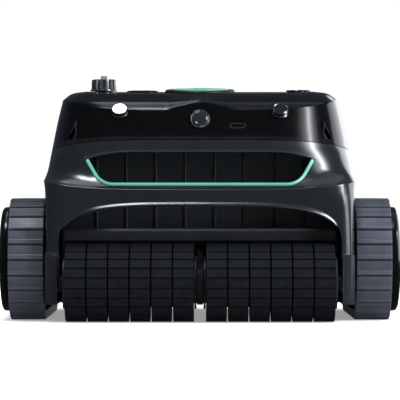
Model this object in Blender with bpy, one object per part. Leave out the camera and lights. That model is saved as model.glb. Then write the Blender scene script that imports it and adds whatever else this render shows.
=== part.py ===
"""Tracked pool cleaner: a cordless robot that drives over pool floors and walls and scrubs them.

Frame: metres, +Z up, -Y is the front with the brush, X is the width.
The origin is on the floor under the middle of the machine.
"""

from math import atan2, cos, hypot, pi, radians, sin, tan

import bmesh
import bpy
from mathutils import Matrix, Vector
from mathutils.geometry import tessellate_polygon

# ---------------------------------------------------------------- driving dimensions (metres)
GAP = 0.0003                      # clearance between pieces that touch

# Body skin, bottom to top. Each key row holds:
# (height at the front middle, y there, height at the sides, half width, y at the rear, squareness)
SKIN_ROWS = (
    (0.0689, -0.1900, 0.0689, 0.1580, 0.2030, 30.0),   # 0  bottom edge
    (0.1100, -0.1905, 0.1100, 0.1580, 0.2032, 26.0),   # 1  pillars
    (0.1270, -0.1920, 0.1350, 0.1597, 0.2038, 15.0),   # 2  lower band
    (0.1350, -0.1930, 0.1440, 0.1615, 0.2040, 11.5),   # 3  crease
    (0.1390, -0.1855, 0.1480, 0.1606, 0.2020, 9.5),    # 4  rolled top of the band
    (0.1500, -0.1775, 0.1560, 0.1588, 0.1990, 7.5),    # 5  handle opening
    (0.1740, -0.1715, 0.1700, 0.1570, 0.1940, 5.9),    # 6  handle bar
    (0.1860, -0.1680, 0.1768, 0.1560, 0.1900, 5.4),    # 7  seam between shell and cover
    (0.2050, -0.1600, 0.2060, 0.1505, 0.1800, 5.2),    # 8  glossy face
    (0.2168, -0.1550, 0.2293, 0.1450, 0.1660, 5.2),    # 9  top edge of the face
    (0.2242, -0.1460, 0.2303, 0.1440, 0.1645, 5.2),    # 10 first band of the roof
    (0.2335, -0.1210, 0.2365, 0.1360, 0.1570, 5.3),    # 11 second band of the roof
    (0.2352, -0.1070, 0.2389, 0.1220, 0.1480, 5.5),    # 12 edge of the service deck
)
SKIN_BREAKS = (0, 3, 9, 12)       # rows where the skin has an edge or ends
CREASE_ROW, SEAM_ROW, FACE_EDGE_ROW, DECK_ROW = 3, 7, 9, 12
SIDE_RISE_POWER = 4.5             # how late a row climbs from its front height to its side height
SHELL_WALL = 0.0035
COVER_WALL = 0.0030

# Arch over the brush, and the handle opening above it
ARCH_HALF_WIDTH = 0.1446
ARCH_HEIGHT = 0.0505
ARCH_SQUARENESS = 3.7
OPENING_FLOOR = 0.1382            # lower edge of the hole that the teal trim lines
OPENING_TOP = 0.1739
OPENING_TOP_FLAT = 0.0715         # half width of the level part of the top edge
OPENING_CORNER_X = 0.1178
OPENING_CORNER_DROP = 0.0076      # how far the top edge falls on its way to the corner
FILLET_CENTER_X = 0.0886
FILLET_CENTER_Z = 0.1618
FILLET_RADIUS = 0.0236
DIAGONAL_SLOPE = radians(60)      # lean of the opening's ends
FRONT_SHARES = (0.0, 0.1, 0.2, 0.3, 0.4, 0.45, 0.5, 0.55, 0.6, 0.7, 0.8, 0.9, 1.0)   # columns
CORNER_SHARE = 0.6                # the column that carries the corner of the opening
TRIM_THICKNESS = 0.0028
TRIM_DEPTH = 0.0060
TRIM_GAP = 0.0008
TRIM_END = 0.0145                 # straight run at each end of the trim

# Tracks
TRACK_RADIUS = 0.0630             # to the tips of the lugs
LUG_HEIGHT = 0.0035
BELT_INNER_RADIUS = 0.0535
WHEEL_RADIUS = 0.0526
TRACK_INNER_X = 0.1603
TRACK_OUTER_X = 0.1965
FRONT_WHEEL_Y = -0.1100
REAR_WHEEL_Y = 0.1200
WHEEL_Z = TRACK_RADIUS
LUGS_PER_ARC = 12
LUGS_PER_RUN = 14
AXLE_RADIUS = 0.0045
SIDE_COVER_ROWS = (               # (x, radius) from the back of the flange to the top of the dome
    (0.1970, 0.0500), (0.1975, 0.0540), (0.2034, 0.0540), (0.2056, 0.0500), (0.2068, 0.0400),
    (0.2075, 0.0240),
)
SIDE_COVER_POCKET = ((0.1970, 0.0465), (0.2010, 0.0455))

# Side frames
FRAME_INNER_X = 0.1450
FRAME_OUTER_X = 0.1580
FRAME_FRONT_Y = -0.1895
FRAME_REAR_Y = 0.2022
FRAME_BOTTOM = 0.0180
FRAME_TOP = 0.0686
FRAME_CORNER = 0.0090
TONGUE_OUTER_X = 0.1524
CAVITY_DEPTH_X = 0.1511
TONGUE_TOP = 0.0900

# Brush and its gear train (the four gears lie on one line)
BRUSH_Y = -0.1750
BRUSH_Z = 0.0402
BRUSH_RADIUS = 0.0400
DRUM_RADIUS = 0.0250
FLANGE_RADIUS = 0.0270
FIN_COUNT = 24
FIN_ROOT_SHARE = 0.76             # part of the pitch that a fin fills at the drum
FIN_TIP_SHARE = 0.40
BRUSH_INNER_X = 0.0061
BRUSH_OUTER_X = 0.1370
GEAR_X = (0.1468, 0.1508)
MODULE = 0.0014656
PINION_TEETH, DRIVE_TEETH, IDLER_TEETH, BRUSH_TEETH = 12, 24, 28, 14
SHAFT_RADIUS = 0.0050
PIN_RADIUS = 0.0030

# Guard bar and brush housing
BAR_HALF_WIDTH = 0.1395
BAR_FRONT_Y = -0.1650
BAR_REAR_Y = -0.1420
BAR_BOTTOM, BAR_TOP = 0.0822, 0.0955
HOUSING_RADIUS = 0.0425
HOUSING_WALL = 0.0025

# Ribbed panel
PANEL_Y = (-0.1250, -0.1220)
PANEL_HALF_WIDTH = 0.1430
PANEL_Z = (0.0243, 0.1790)
RIB_PITCH = 0.0305
RIB_DEPTH = 0.0030
RIB_WIDTH = 0.0016
RIB_COUNT = 8

# Hull floor
FLOOR_HALF_WIDTH = 0.1447
FLOOR_Y = (-0.1280, 0.2019)
FLOOR_WALL = 0.0040
SUCTION_X, SUCTION_Y = 0.0520, (0.0500, 0.0900)

# Roof
DECK_TOP = 0.2389
DECK_THICKNESS = 0.0030
DECK_FRONT_Y = -0.1068
DECK_FRONT_TOP = 0.2350
DECK_BEND_Y = -0.0500             # the deck slopes down in front of this line
DECK_INSET = 0.0012
OUTLET_Y = -0.0660
OUTLET_RADIUS = 0.0369
KNOB_X, KNOB_Y = -0.1018, -0.0600
KNOB_RADIUS = 0.0129
FLUTES = 12
BUTTON_X, BUTTON_Y = -0.0608, -0.0600
SENSOR_CAP_X, SENSOR_CAP_Y = 0.1040, -0.0600
LID_X, LID_Y = 0.0980, (-0.0200, 0.1300)
LID_TOP, LID_BOTTOM = 0.2392, 0.2359
PUMP_DUCT_RADII = (0.0295, 0.0320)
IMPELLER_RADIUS = 0.0275

# Front face
FACE_TILT = radians(22.9)
LENS_PLACE = (0.0, -0.1594, 0.2068)
EYE_PLACE = (0.0826, -0.1575, 0.2183)
EYE_RADIUS = 0.0079
SLOT_PLACE = (0.0383, -0.1615, 0.2004)


# ---------------------------------------------------------------- materials
def material(name, color, roughness, metallic=0.0):
    """A Principled material with one colour."""
    mat = bpy.data.materials.new(name)
    mat.use_nodes = True
    shader = mat.node_tree.nodes["Principled BSDF"]
    shader.inputs["Base Color"].default_value = (*color, 1.0)
    shader.inputs["Roughness"].default_value = roughness
    shader.inputs["Metallic"].default_value = metallic
    mat.diffuse_color = (*color, 1.0)
    return mat


def make_materials():
    """Every material of the machine, by a plain name."""
    return {
        "gloss": material("gloss_black_plastic", (0.004, 0.004, 0.005), 0.08),
        "satin": material("satin_graphite_plastic", (0.016, 0.019, 0.024), 0.32),
        "matte": material("matte_black_plastic", (0.010, 0.010, 0.011), 0.55),
        "rubber": material("slate_rubber", (0.040, 0.044, 0.060), 0.62),
        "fin": material("brush_rubber", (0.014, 0.017, 0.022), 0.50),
        "teal": material("teal_plastic", (0.115, 0.468, 0.335), 0.35),
        "lens": material("lens_glass", (0.018, 0.020, 0.024), 0.05),
        "steel": material("stainless_steel", (0.55, 0.56, 0.57), 0.25, 1.0),
        "gear": material("white_acetal", (0.70, 0.69, 0.65), 0.40),
        "board": material("circuit_board", (0.02, 0.12, 0.05), 0.45),
        "cell": material("battery_wrap", (0.03, 0.09, 0.22), 0.45),
        "mesh": material("filter_plastic", (0.05, 0.055, 0.06), 0.50),
    }


# ---------------------------------------------------------------- building blocks
def add(name, bm, mat, pivot=(0.0, 0.0, 0.0), smooth_angle=35.0):
    """Turn a bmesh in world places into a named object whose origin is at pivot."""
    bmesh.ops.remove_doubles(bm, verts=bm.verts, dist=1e-6)
    bmesh.ops.recalc_face_normals(bm, faces=bm.faces)
    bmesh.ops.translate(bm, verts=bm.verts, vec=-Vector(pivot))
    mesh = bpy.data.meshes.new(name)
    bm.to_mesh(mesh)
    bm.free()
    mesh.materials.append(mat)
    mesh.shade_smooth()
    mesh.set_sharp_from_angle(angle=radians(smooth_angle))
    part = bpy.data.objects.new(name, mesh)
    part.location = pivot
    part.parent = bpy.data.objects.get("pool_cleaner")
    bpy.context.scene.collection.objects.link(part)
    return part


def boolean(part, operation, bm):
    """Join or cut a part with a shape given in world places."""
    tool = add(f"{part.name}.tool.{len(part.modifiers)}", bm, part.data.materials[0])
    tool.hide_render = True
    tool.display_type = "WIRE"
    modifier = part.modifiers.new(operation.lower(), "BOOLEAN")
    modifier.operation = operation
    modifier.solver = "EXACT"
    modifier.object = tool


def place(axis, a, b, height):
    """World point of an outline's point (a, b) at a height along axis."""
    if axis == "X":
        return (height, a, b)
    if axis == "Y":
        return (a, height, b)
    return (a, b, height)


def prism(loops, low, high, axis, bm=None):
    """A straight solid with the first loop as its outline and the others as holes."""
    bm = bm or bmesh.new()
    ends = []
    for height in (low, high):
        ends.append([[bm.verts.new(place(axis, a, b, height)) for a, b in loop] for loop in loops])
    triangles = tessellate_polygon([[Vector((a, b, 0.0)) for a, b in loop] for loop in loops])
    for rings in ends:
        flat = [vert for ring in rings for vert in ring]
        for triangle in triangles:
            bm.faces.new([flat[index] for index in triangle])
    for lower, upper in zip(*ends):
        for i, vert in enumerate(lower):
            j = (i + 1) % len(lower)
            bm.faces.new((vert, lower[j], upper[j], upper[i]))
    return bm


def loft(rings, bm=None):
    """A closed solid through rings of equal length, with flat ends."""
    bm = bm or bmesh.new()
    rows = [[bm.verts.new(point) for point in ring] for ring in rings]
    for lower, upper in zip(rows, rows[1:]):
        for i in range(len(lower)):
            j = (i + 1) % len(lower)
            bm.faces.new((lower[i], lower[j], upper[j], upper[i]))
    bm.faces.new(rows[0])
    bm.faces.new(rows[-1])
    return bm


def turned(profile, segments, matrix=None):
    """A closed profile of (radius, height) points turned about Z and then placed by matrix."""
    bm = bmesh.new()
    rows = []
    for radius, height in profile:
        ring = [Vector((radius * cos(a), radius * sin(a), height)) for a in steps(segments)]
        rows.append([bm.verts.new(point) for point in ring])
    for lower, upper in zip(rows, rows[1:] + rows[:1]):
        for i in range(segments):
            j = (i + 1) % segments
            bm.faces.new((lower[i], lower[j], upper[j], upper[i]))
    bmesh.ops.remove_doubles(bm, verts=bm.verts, dist=1e-6)
    bmesh.ops.dissolve_degenerate(bm, edges=bm.edges, dist=1e-7)
    bmesh.ops.transform(bm, matrix=matrix or Matrix(), verts=bm.verts)
    return bm


def steps(count, start=0.0):
    """Even angles round a full turn."""
    return [start + 2 * pi * i / count for i in range(count)]


def circle(center, radius, segments, start=0.0):
    """Points of a circle, as an outline for prism."""
    a, b = center
    return [(a + radius * cos(t), b + radius * sin(t)) for t in steps(segments, start)]


def rounded(points, radius, pieces=3):
    """Outline of a polygon with its corners rounded by arcs."""
    outline = []
    for i, point in enumerate(points):
        here = Vector(point)
        before = (Vector(points[i - 1]) - here).normalized()
        after = (Vector(points[(i + 1) % len(points)]) - here).normalized()
        half = before.angle(after) / 2
        center = here + (before + after).normalized() * radius / sin(half)
        start = here + before * radius / tan(half) - center
        end = here + after * radius / tan(half) - center
        turn = start.angle_signed(end)
        for k in range(pieces + 1):
            spoke = start.copy()
            spoke.rotate(Matrix.Rotation(-turn * k / pieces, 2))
            outline.append(tuple(center + spoke))
    return outline


def rectangle(a_low, a_high, b_low, b_high, radius=0.0):
    """Outline of a rectangle, with round corners where a radius is given."""
    corners = [(a_low, b_low), (a_high, b_low), (a_high, b_high), (a_low, b_high)]
    return rounded(corners, radius) if radius else corners


def block(x, y, z, radius=0.0):
    """A box between three pairs of limits, its upright corners rounded."""
    return prism([rectangle(*x, *y, radius)], *z, "Z")


def along_x(y, z):
    """Matrix that takes a shape turned about Z to a shape turned about an X axis at y, z."""
    return Matrix.Translation((0.0, y, z)) @ Matrix(((0, 0, 1), (1, 0, 0), (0, 1, 0))).to_4x4()


def rod(x_low, x_high, y, z, radius, segments=16):
    """A round bar along X."""
    return prism([circle((y, z), radius, segments)], x_low, x_high, "X")


def merge(*shapes):
    """One bmesh that holds several separate shapes."""
    whole = bmesh.new()
    for shape in shapes:
        mesh = bpy.data.meshes.new("merge")
        shape.to_mesh(mesh)
        shape.free()
        whole.from_mesh(mesh)
        bpy.data.meshes.remove(mesh)
    return whole


def mirrored(bm, side):
    """The shape itself on the right (side 1), or its mirror image on the left (side -1)."""
    if side < 0:
        bmesh.ops.scale(bm, verts=bm.verts, vec=(-1.0, 1.0, 1.0))
        bmesh.ops.reverse_faces(bm, faces=bm.faces)
    return bm


# ---------------------------------------------------------------- body skin
def skin_row(v):
    """Values of the skin's rows at a fractional row number, smooth between the breaks."""
    first = max(row for row in SKIN_BREAKS[:-1] if row <= v)
    last = min(row for row in SKIN_BREAKS if row > first)
    i = min(int(v), last - 1)
    t = v - i
    rows = [SKIN_ROWS[k] for k in (max(i - 1, first), i, i + 1, min(i + 2, last))]
    return [
        0.5 * (2 * b + (c - a) * t + (2 * a - 5 * b + 4 * c - d) * t**2 + (3 * b - a - 3 * c + d) * t**3)
        for a, b, c, d in zip(*rows)
    ]


def skin_point(angle, v, inset=0.0):
    """Point of the body's outer skin: angle 90 is the front middle, 0 the right side, -90 the rear."""
    z_front, y_front, z_side, half_width, y_rear, power = skin_row(v)
    c, s = cos(angle), sin(angle)
    reach = (abs(c) ** power + abs(s) ** power) ** (-1 / power)
    x = (half_width - inset) * reach * c
    if s > 0:
        rise = min(abs(reach * c), 1.0) ** SIDE_RISE_POWER
        return Vector((x, (y_front + inset) * reach * s, z_front + (z_side - z_front) * rise))
    return Vector((x, (inset - y_rear) * reach * s, z_side))


def skin_angle(x, v):
    """Angle of the front skin's point with a given x on row v."""
    low, high = radians(30), radians(90)
    for _ in range(30):
        middle = (low + high) / 2
        if skin_point(middle, v).x > x:
            low = middle
        else:
            high = middle
    return low


def skin_place(x, z, v_low, v_high):
    """Angle and row of the front skin's point with a given x and z."""
    for _ in range(30):
        v = (v_low + v_high) / 2
        if skin_point(skin_angle(x, v), v).z < z:
            v_low = v
        else:
            v_high = v
    return skin_angle(x, v), v


def side_angles():
    """Angles of the columns from the pillar's inner edge, round the side, to the rear middle."""
    degrees = (45.6, 44.2, 41, 32, 17, 0, -17, -32, -41, -44, -45, -46, -50, -62, -76, -90)
    return [radians(value) for value in degrees]


def opening_edges(x):
    """Heights of the lower and upper edge of the handle opening at x."""
    line_start = FILLET_CENTER_X + FILLET_RADIUS * sin(DIAGONAL_SLOPE)
    if x < FILLET_CENTER_X:
        lower = OPENING_FLOOR
    elif x < line_start:
        lower = FILLET_CENTER_Z - (FILLET_RADIUS**2 - (x - FILLET_CENTER_X) ** 2) ** 0.5
    else:
        rise = (x - line_start) * tan(DIAGONAL_SLOPE)
        lower = FILLET_CENTER_Z - FILLET_RADIUS * cos(DIAGONAL_SLOPE) + rise
    along = max(0.0, (x - OPENING_TOP_FLAT) / (OPENING_CORNER_X - OPENING_TOP_FLAT))
    return lower, OPENING_TOP - OPENING_CORNER_DROP * along**2


def crease_x(share):
    """Place on the crease of the front column at a share of the way along the arch."""
    return 0.146 * sin(pi / 2 * share**0.9)


def shell_rows():
    """Rows of (angle, v) for the right half of the shell, from the arch and bottom edge up."""
    arch, crease, lower, upper = [], [], [], []
    for t in FRONT_SHARES:
        x = crease_x(t)
        ray = pi / 2 * (1 - t)
        power = ARCH_SQUARENESS
        reach = (cos(ray) ** power + sin(ray) ** power) ** (-1 / power)
        arch_x = ARCH_HALF_WIDTH * reach * abs(cos(ray))
        arch_z = SKIN_ROWS[0][0] + ARCH_HEIGHT * reach * abs(sin(ray))
        arch.append(skin_place(arch_x, arch_z, 0.0, CREASE_ROW))
        crease.append((skin_angle(x, CREASE_ROW), CREASE_ROW))
        if t <= CORNER_SHARE:
            hole_x = x * OPENING_CORNER_X / crease_x(CORNER_SHARE)
            floor, top = opening_edges(hole_x)
            lower.append(skin_place(hole_x, floor, CREASE_ROW, SEAM_ROW))
            upper.append(skin_place(hole_x, top, CREASE_ROW, SEAM_ROW))
        else:
            along = (t - CORNER_SHARE) / (1 - CORNER_SHARE)
            angle = crease[-1][0]
            lower.append((angle, lower[-1][1] + (4.8 - lower[-1][1]) * along))
            upper.append((angle, upper[-1][1] + (6.0 - upper[-1][1]) * along))
    seam = [(angle, SEAM_ROW) for angle, _ in crease]
    for angle in side_angles():
        arch.append((angle, 0.0))
        crease.append((angle, CREASE_ROW))
        lower.append((angle, 4.8))
        upper.append((angle, 6.0))
        seam.append((angle, SEAM_ROW))
    rows = [arch, between(arch, crease, 0.2), between(arch, crease, 0.6), crease]
    rows += [between(crease, lower, 0.4), lower, between(lower, upper, 0.5), upper, seam]
    return rows


def between(row, other, share):
    """A row part of the way from one row to another."""
    return [(a + (c - a) * share, b + (d - b) * share) for (a, b), (c, d) in zip(row, other)]


def skin_surface(rows, hole=None):
    """Open surface through rows of (angle, v) for the right half, closed round by its mirror image."""
    bm = bmesh.new()
    grid = []
    for row in rows:
        whole = row + [(pi - angle, v) for angle, v in row[-2:0:-1]]
        grid.append([bm.verts.new(skin_point(angle, v)) for angle, v in whole])
    columns = len(grid[0])
    for i in range(len(grid) - 1):
        for j in range(columns):
            column = min(j, columns - 1 - j)
            if hole and i in hole[0] and column < hole[1]:
                continue
            k = (j + 1) % columns
            bm.faces.new((grid[i][j], grid[i + 1][j], grid[i + 1][k], grid[i][k]))
    bmesh.ops.delete(bm, geom=[v for v in bm.verts if not v.link_faces], context="VERTS")
    return bm


def add_skin(name, rows, wall, mat, hole=None):
    """A skin of the body with its wall inside the outer surface."""
    part = add(name, skin_surface(rows, hole), mat)
    if part.data.polygons[0].normal.y > 0:
        part.data.flip_normals()
    solid = part.modifiers.new("wall", "SOLIDIFY")
    solid.thickness = wall
    solid.offset = -1.0
    solid.use_even_offset = True
    return part


# ---------------------------------------------------------------- shells and panels
def build_upper_shell(mats):
    hole_columns = FRONT_SHARES.index(CORNER_SHARE)
    add_skin("upper_shell", shell_rows(), SHELL_WALL, mats["satin"], hole=((5, 6), hole_columns))


def cover_angles():
    """Angles of the cover's columns, from the front middle to the rear middle."""
    return [radians(value) for value in (90, 82, 74, 66, 59, 54, 50.5, 48, 46.5)] + side_angles()


def build_top_cover(mats):
    rows = []
    for v in (SEAM_ROW + 0.03, 8, FACE_EDGE_ROW, 10, 11, DECK_ROW):
        rows.append([(angle, v) for angle in cover_angles()])
    cover = add_skin("top_cover", rows, COVER_WALL, mats["gloss"])
    boolean(cover, "DIFFERENCE", merge(
        turned([(0.0, -0.03), (0.0083, -0.03), (0.0083, 0.01), (0.0, 0.01)], 20, lens_matrix()),
        turned([(0.0, -0.03), (0.0082, -0.03), (0.0082, 0.02), (0.0, 0.02)], 20, eye_matrix(1)),
        turned([(0.0, -0.03), (0.0082, -0.03), (0.0082, 0.02), (0.0, 0.02)], 20, eye_matrix(-1)),
        slot_shape(0.0003, -0.012, 0.008),
    ))


def deck_height(y):
    """Height of the deck's top, level behind the bend and sloping down in front of it."""
    slope = (DECK_TOP - DECK_FRONT_TOP) / (DECK_BEND_Y - DECK_FRONT_Y)
    return DECK_TOP + min(0.0, y - DECK_BEND_Y) * slope


def deck_tilt():
    return atan2(DECK_TOP - DECK_FRONT_TOP, DECK_BEND_Y - DECK_FRONT_Y)


def build_service_deck(mats):
    outline = [skin_point(angle, DECK_ROW, DECK_INSET) for angle in cover_angles()]
    outline += [Vector((-p.x, p.y, p.z)) for p in outline[-2:0:-1]]
    with_bend = []
    for here, after in zip(outline, outline[1:] + outline[:1]):
        with_bend.append(here)
        if (here.y - DECK_BEND_Y) * (after.y - DECK_BEND_Y) < 0:
            share = (DECK_BEND_Y - here.y) / (after.y - here.y)
            with_bend.append(here.lerp(after, share))
    bm = bmesh.new()
    levels = []
    for drop in (0.0, DECK_THICKNESS):
        levels.append([bm.verts.new((p.x, p.y, deck_height(p.y) - drop)) for p in with_bend])
    bends = [i for i, p in enumerate(with_bend) if abs(p.y - DECK_BEND_Y) < 1e-6]
    for level in levels:
        bm.faces.new(level[bends[0]:bends[1] + 1])
        bm.faces.new(level[bends[1]:] + level[:bends[0] + 1])
    for i in range(len(with_bend)):
        j = (i + 1) % len(with_bend)
        bm.faces.new((levels[0][i], levels[0][j], levels[1][j], levels[1][i]))
    deck = add("service_deck", bm, mats["matte"])
    lid_hole = rectangle(-LID_X - GAP, LID_X + GAP, LID_Y[0] - GAP, LID_Y[1] + GAP, 0.0083)
    boolean(deck, "DIFFERENCE", merge(
        prism([lid_hole], 0.220, 0.260, "Z"),
        prism([circle((0.0, OUTLET_Y), 0.0332, 32)], 0.220, 0.260, "Z"),
        prism([circle((KNOB_X, KNOB_Y), 0.0093, 20)], 0.220, 0.260, "Z"),
        prism([circle((SENSOR_CAP_X, SENSOR_CAP_Y), 0.0100, 20)], 0.220, 0.260, "Z"),
        prism([button_outline(0.0004)], 0.220, 0.260, "Z"),
    ))


def trim_path():
    """Right half of the trim's top edge, from the middle to the corner of the handle opening."""
    clear = TRIM_THICKNESS + TRIM_GAP
    radius = FILLET_RADIUS - clear
    points = [(0.0, OPENING_FLOOR + clear), (0.045, OPENING_FLOOR + clear)]
    for k in range(5):
        turn = DIAGONAL_SLOPE * k / 4
        points.append((FILLET_CENTER_X + radius * sin(turn), FILLET_CENTER_Z - radius * cos(turn)))
    x, z = points[-1]
    points.append((x + TRIM_END * cos(DIAGONAL_SLOPE), z + TRIM_END * sin(DIAGONAL_SLOPE)))
    return points


def build_handle_trim(mats):
    path = trim_path()
    path = [(-x, z) for x, z in path[:0:-1]] + path
    bm = bmesh.new()
    rings = []
    for i, (x, z) in enumerate(path):
        x0, z0 = path[max(i - 1, 0)]
        x1, z1 = path[min(i + 1, len(path) - 1)]
        length = hypot(x1 - x0, z1 - z0)
        down = Vector(((z1 - z0) / length, 0.0, -(x1 - x0) / length)) * TRIM_THICKNESS
        angle, v = skin_place(abs(x), z, CREASE_ROW, SEAM_ROW)
        top = Vector((x, skin_point(angle, v).y + 0.0005, z))
        back = Vector((0.0, TRIM_DEPTH, 0.0))
        rings.append([top, top + down, top + down + back, top + back])
    add("handle_trim", loft(rings, bm), mats["teal"])


def build_grille_panel(mats):
    front, back = PANEL_Y
    outline = [(-PANEL_HALF_WIDTH, back), (PANEL_HALF_WIDTH, back), (PANEL_HALF_WIDTH, front)]
    for i in range(RIB_COUNT):
        x = RIB_PITCH * (RIB_COUNT / 2 - 0.5 - i)
        for dx, y in ((1, front), (0.6, front - RIB_DEPTH), (-0.6, front - RIB_DEPTH), (-1, front)):
            outline.append((x + dx * RIB_WIDTH, y))
    outline.append((-PANEL_HALF_WIDTH, front))
    add("front_grille_panel", prism([outline], *PANEL_Z, "Z"), mats["satin"])


def build_brush_housing(mats):
    """Guard bar over the brush, with the curved wall that closes the brush bay behind it."""
    outline = [(BAR_REAR_Y, BAR_TOP), (BAR_FRONT_Y + 0.003, BAR_TOP), (BAR_FRONT_Y, BAR_TOP - 0.003)]
    outline += [(BAR_FRONT_Y, BAR_BOTTOM + 0.001), (BAR_FRONT_Y + 0.001, BAR_BOTTOM)]
    start, end = radians(70), radians(-28)
    for k in range(9):
        a = start + (end - start) * k / 8
        outline.append((BRUSH_Y + HOUSING_RADIUS * cos(a), BRUSH_Z + HOUSING_RADIUS * sin(a)))
    outer = HOUSING_RADIUS + HOUSING_WALL
    for k in range(7):
        a = end + (radians(48) - end) * k / 6
        outline.append((BRUSH_Y + outer * cos(a), BRUSH_Z + outer * sin(a)))
    outline.append((BAR_REAR_Y, BAR_BOTTOM))
    add("brush_housing", prism([outline], -BAR_HALF_WIDTH, BAR_HALF_WIDTH, "X"), mats["satin"])


def build_center_bracket(mats):
    radius = 0.0228
    outline = []
    for k in range(13):
        a = radians(150 + 195 * k / 12)
        outline.append((BRUSH_Y + radius * cos(a), BRUSH_Z + radius * sin(a)))
    outline += [(-0.1350, 0.0480), (-0.1400, 0.0620), (-0.1530, 0.0740)]
    bore = circle((BRUSH_Y, BRUSH_Z), SHAFT_RADIUS + GAP, 16)
    add("center_bracket", prism([outline, bore], -0.0030, 0.0030, "X"), mats["matte"])


def build_bottom_plate(mats):
    """Hull floor with its upright rear wall, and the suction mouth through it."""
    low = FRAME_BOTTOM
    top = FRAME_TOP - 0.0004
    front, rear = FLOOR_Y
    outline = [(front, low), (rear - 0.006, low), (rear, low + 0.006), (rear, top)]
    outline += [(rear - FLOOR_WALL, top), (rear - FLOOR_WALL, low + FLOOR_WALL)]
    outline += [(front, low + FLOOR_WALL)]
    floor = add("bottom_plate", prism([outline], -FLOOR_HALF_WIDTH, FLOOR_HALF_WIDTH, "X"), mats["satin"])
    boolean(floor, "DIFFERENCE", block((-SUCTION_X, SUCTION_X), SUCTION_Y, (0.0, 0.040)))


def build_rear_bumper(mats):
    rings = []
    for x, y_out in ((-0.110, 0.2070), (-0.106, 0.2125), (-0.09, 0.2150), (0.09, 0.2150),
                     (0.106, 0.2125), (0.110, 0.2070)):
        inner = 0.2044
        rings.append([(x, inner, 0.0840), (x, y_out - 0.001, 0.0850), (x, y_out, 0.0880),
                      (x, y_out, 0.1000), (x, y_out - 0.001, 0.1030), (x, inner, 0.1040)])
    add("rear_bumper", loft(rings), mats["rubber"])


# ---------------------------------------------------------------- track sides
def stadium(radius, pieces):
    """Outline round both wheel axles, pieces to each half turn."""
    points = []
    for k in range(pieces + 1):
        a = pi / 2 + pi * k / pieces
        points.append((FRONT_WHEEL_Y + radius * cos(a), WHEEL_Z + radius * sin(a)))
    for k in range(pieces + 1):
        a = -pi / 2 + pi * k / pieces
        points.append((REAR_WHEEL_Y + radius * cos(a), WHEEL_Z + radius * sin(a)))
    return points


def track_point(step, height):
    """Point of the track's path after a number of lug pitches, from the top of the front wheel."""
    radius = TRACK_RADIUS - LUG_HEIGHT + height
    run = REAR_WHEEL_Y - FRONT_WHEEL_Y
    if step < LUGS_PER_ARC:
        a = pi / 2 + pi * step / LUGS_PER_ARC
        return (FRONT_WHEEL_Y + radius * cos(a), WHEEL_Z + radius * sin(a))
    step -= LUGS_PER_ARC
    if step < LUGS_PER_RUN:
        return (FRONT_WHEEL_Y + run * step / LUGS_PER_RUN, WHEEL_Z - radius)
    step -= LUGS_PER_RUN
    if step < LUGS_PER_ARC:
        a = -pi / 2 + pi * step / LUGS_PER_ARC
        return (REAR_WHEEL_Y + radius * cos(a), WHEEL_Z + radius * sin(a))
    step -= LUGS_PER_ARC
    return (REAR_WHEEL_Y - run * step / LUGS_PER_RUN, WHEEL_Z + radius)


def build_track_belt(name, side, mats):
    lug = ((0.115, 0.0), (0.150, LUG_HEIGHT), (0.850, LUG_HEIGHT), (0.885, 0.0))
    pitches = 2 * (LUGS_PER_ARC + LUGS_PER_RUN)
    outline = [track_point(i + share, height) for i in range(pitches) for share, height in lug]
    inner = stadium(BELT_INNER_RADIUS, LUGS_PER_ARC)
    bm = prism([outline, inner], TRACK_INNER_X, TRACK_OUTER_X, "X")
    add(f"{name}_track_belt", mirrored(bm, side), mats["rubber"])


def build_side_cover(name, side, mats):
    """Domed cover over the wheels, hollow behind."""
    bm = bmesh.new()
    rings = []
    for x, radius in SIDE_COVER_POCKET[::-1] + SIDE_COVER_ROWS:
        rings.append([(x, y, z) for y, z in stadium(radius, 9)])
    add(f"{name}_side_cover", mirrored(loft(rings, bm), side), mats["gloss"])


def build_wheel(name, end, y, side, mats):
    rim_in, rim_out = TRACK_INNER_X + 0.0012, TRACK_OUTER_X - 0.0012
    bore = AXLE_RADIUS + GAP
    profile = [(bore, rim_in), (0.0120, rim_in), (0.0120, 0.1740), (0.0460, 0.1740), (0.0460, rim_in)]
    profile += [(WHEEL_RADIUS, rim_in), (WHEEL_RADIUS, rim_out), (0.0460, rim_out), (0.0460, 0.1830)]
    profile += [(0.0120, 0.1830), (0.0120, rim_out), (bore, rim_out)]
    bm = turned(profile, 24, along_x(y, WHEEL_Z))
    add(f"{name}_{end}_wheel", mirrored(bm, side), mats["matte"], (side * 0.1785, y, WHEEL_Z))


def frame_plan():
    """Plan outline of a side frame, with its outer corners rounded."""
    outer, inner = FRAME_OUTER_X, FRAME_INNER_X
    points = [(inner, FRAME_REAR_Y), (inner, FRAME_FRONT_Y)]
    for y, direction in ((FRAME_FRONT_Y + FRAME_CORNER, -1), (FRAME_REAR_Y - FRAME_CORNER, 1)):
        arc = []
        for k in range(4):
            a = radians(90 - 30 * k)
            x = outer - FRAME_CORNER + FRAME_CORNER * cos(a)
            arc.append((x, y + direction * FRAME_CORNER * sin(a)))
        points += arc if direction < 0 else arc[::-1]
    return points


def train_line():
    """Direction of the gear train, from the front axle to the brush."""
    dy, dz = BRUSH_Y - FRONT_WHEEL_Y, BRUSH_Z - WHEEL_Z
    return dy / hypot(dy, dz), dz / hypot(dy, dz)


def gear_places():
    """Centre (y, z) of each gear of a side's train."""
    dy, dz = train_line()
    pinion = -(PINION_TEETH + DRIVE_TEETH) * MODULE / 2
    idler = (DRIVE_TEETH + IDLER_TEETH) * MODULE / 2
    return {
        "pinion": (FRONT_WHEEL_Y + dy * pinion, WHEEL_Z + dz * pinion),
        "drive": (FRONT_WHEEL_Y, WHEEL_Z),
        "idler": (FRONT_WHEEL_Y + dy * idler, WHEEL_Z + dz * idler),
        "brush": (BRUSH_Y, BRUSH_Z),
    }


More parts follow.
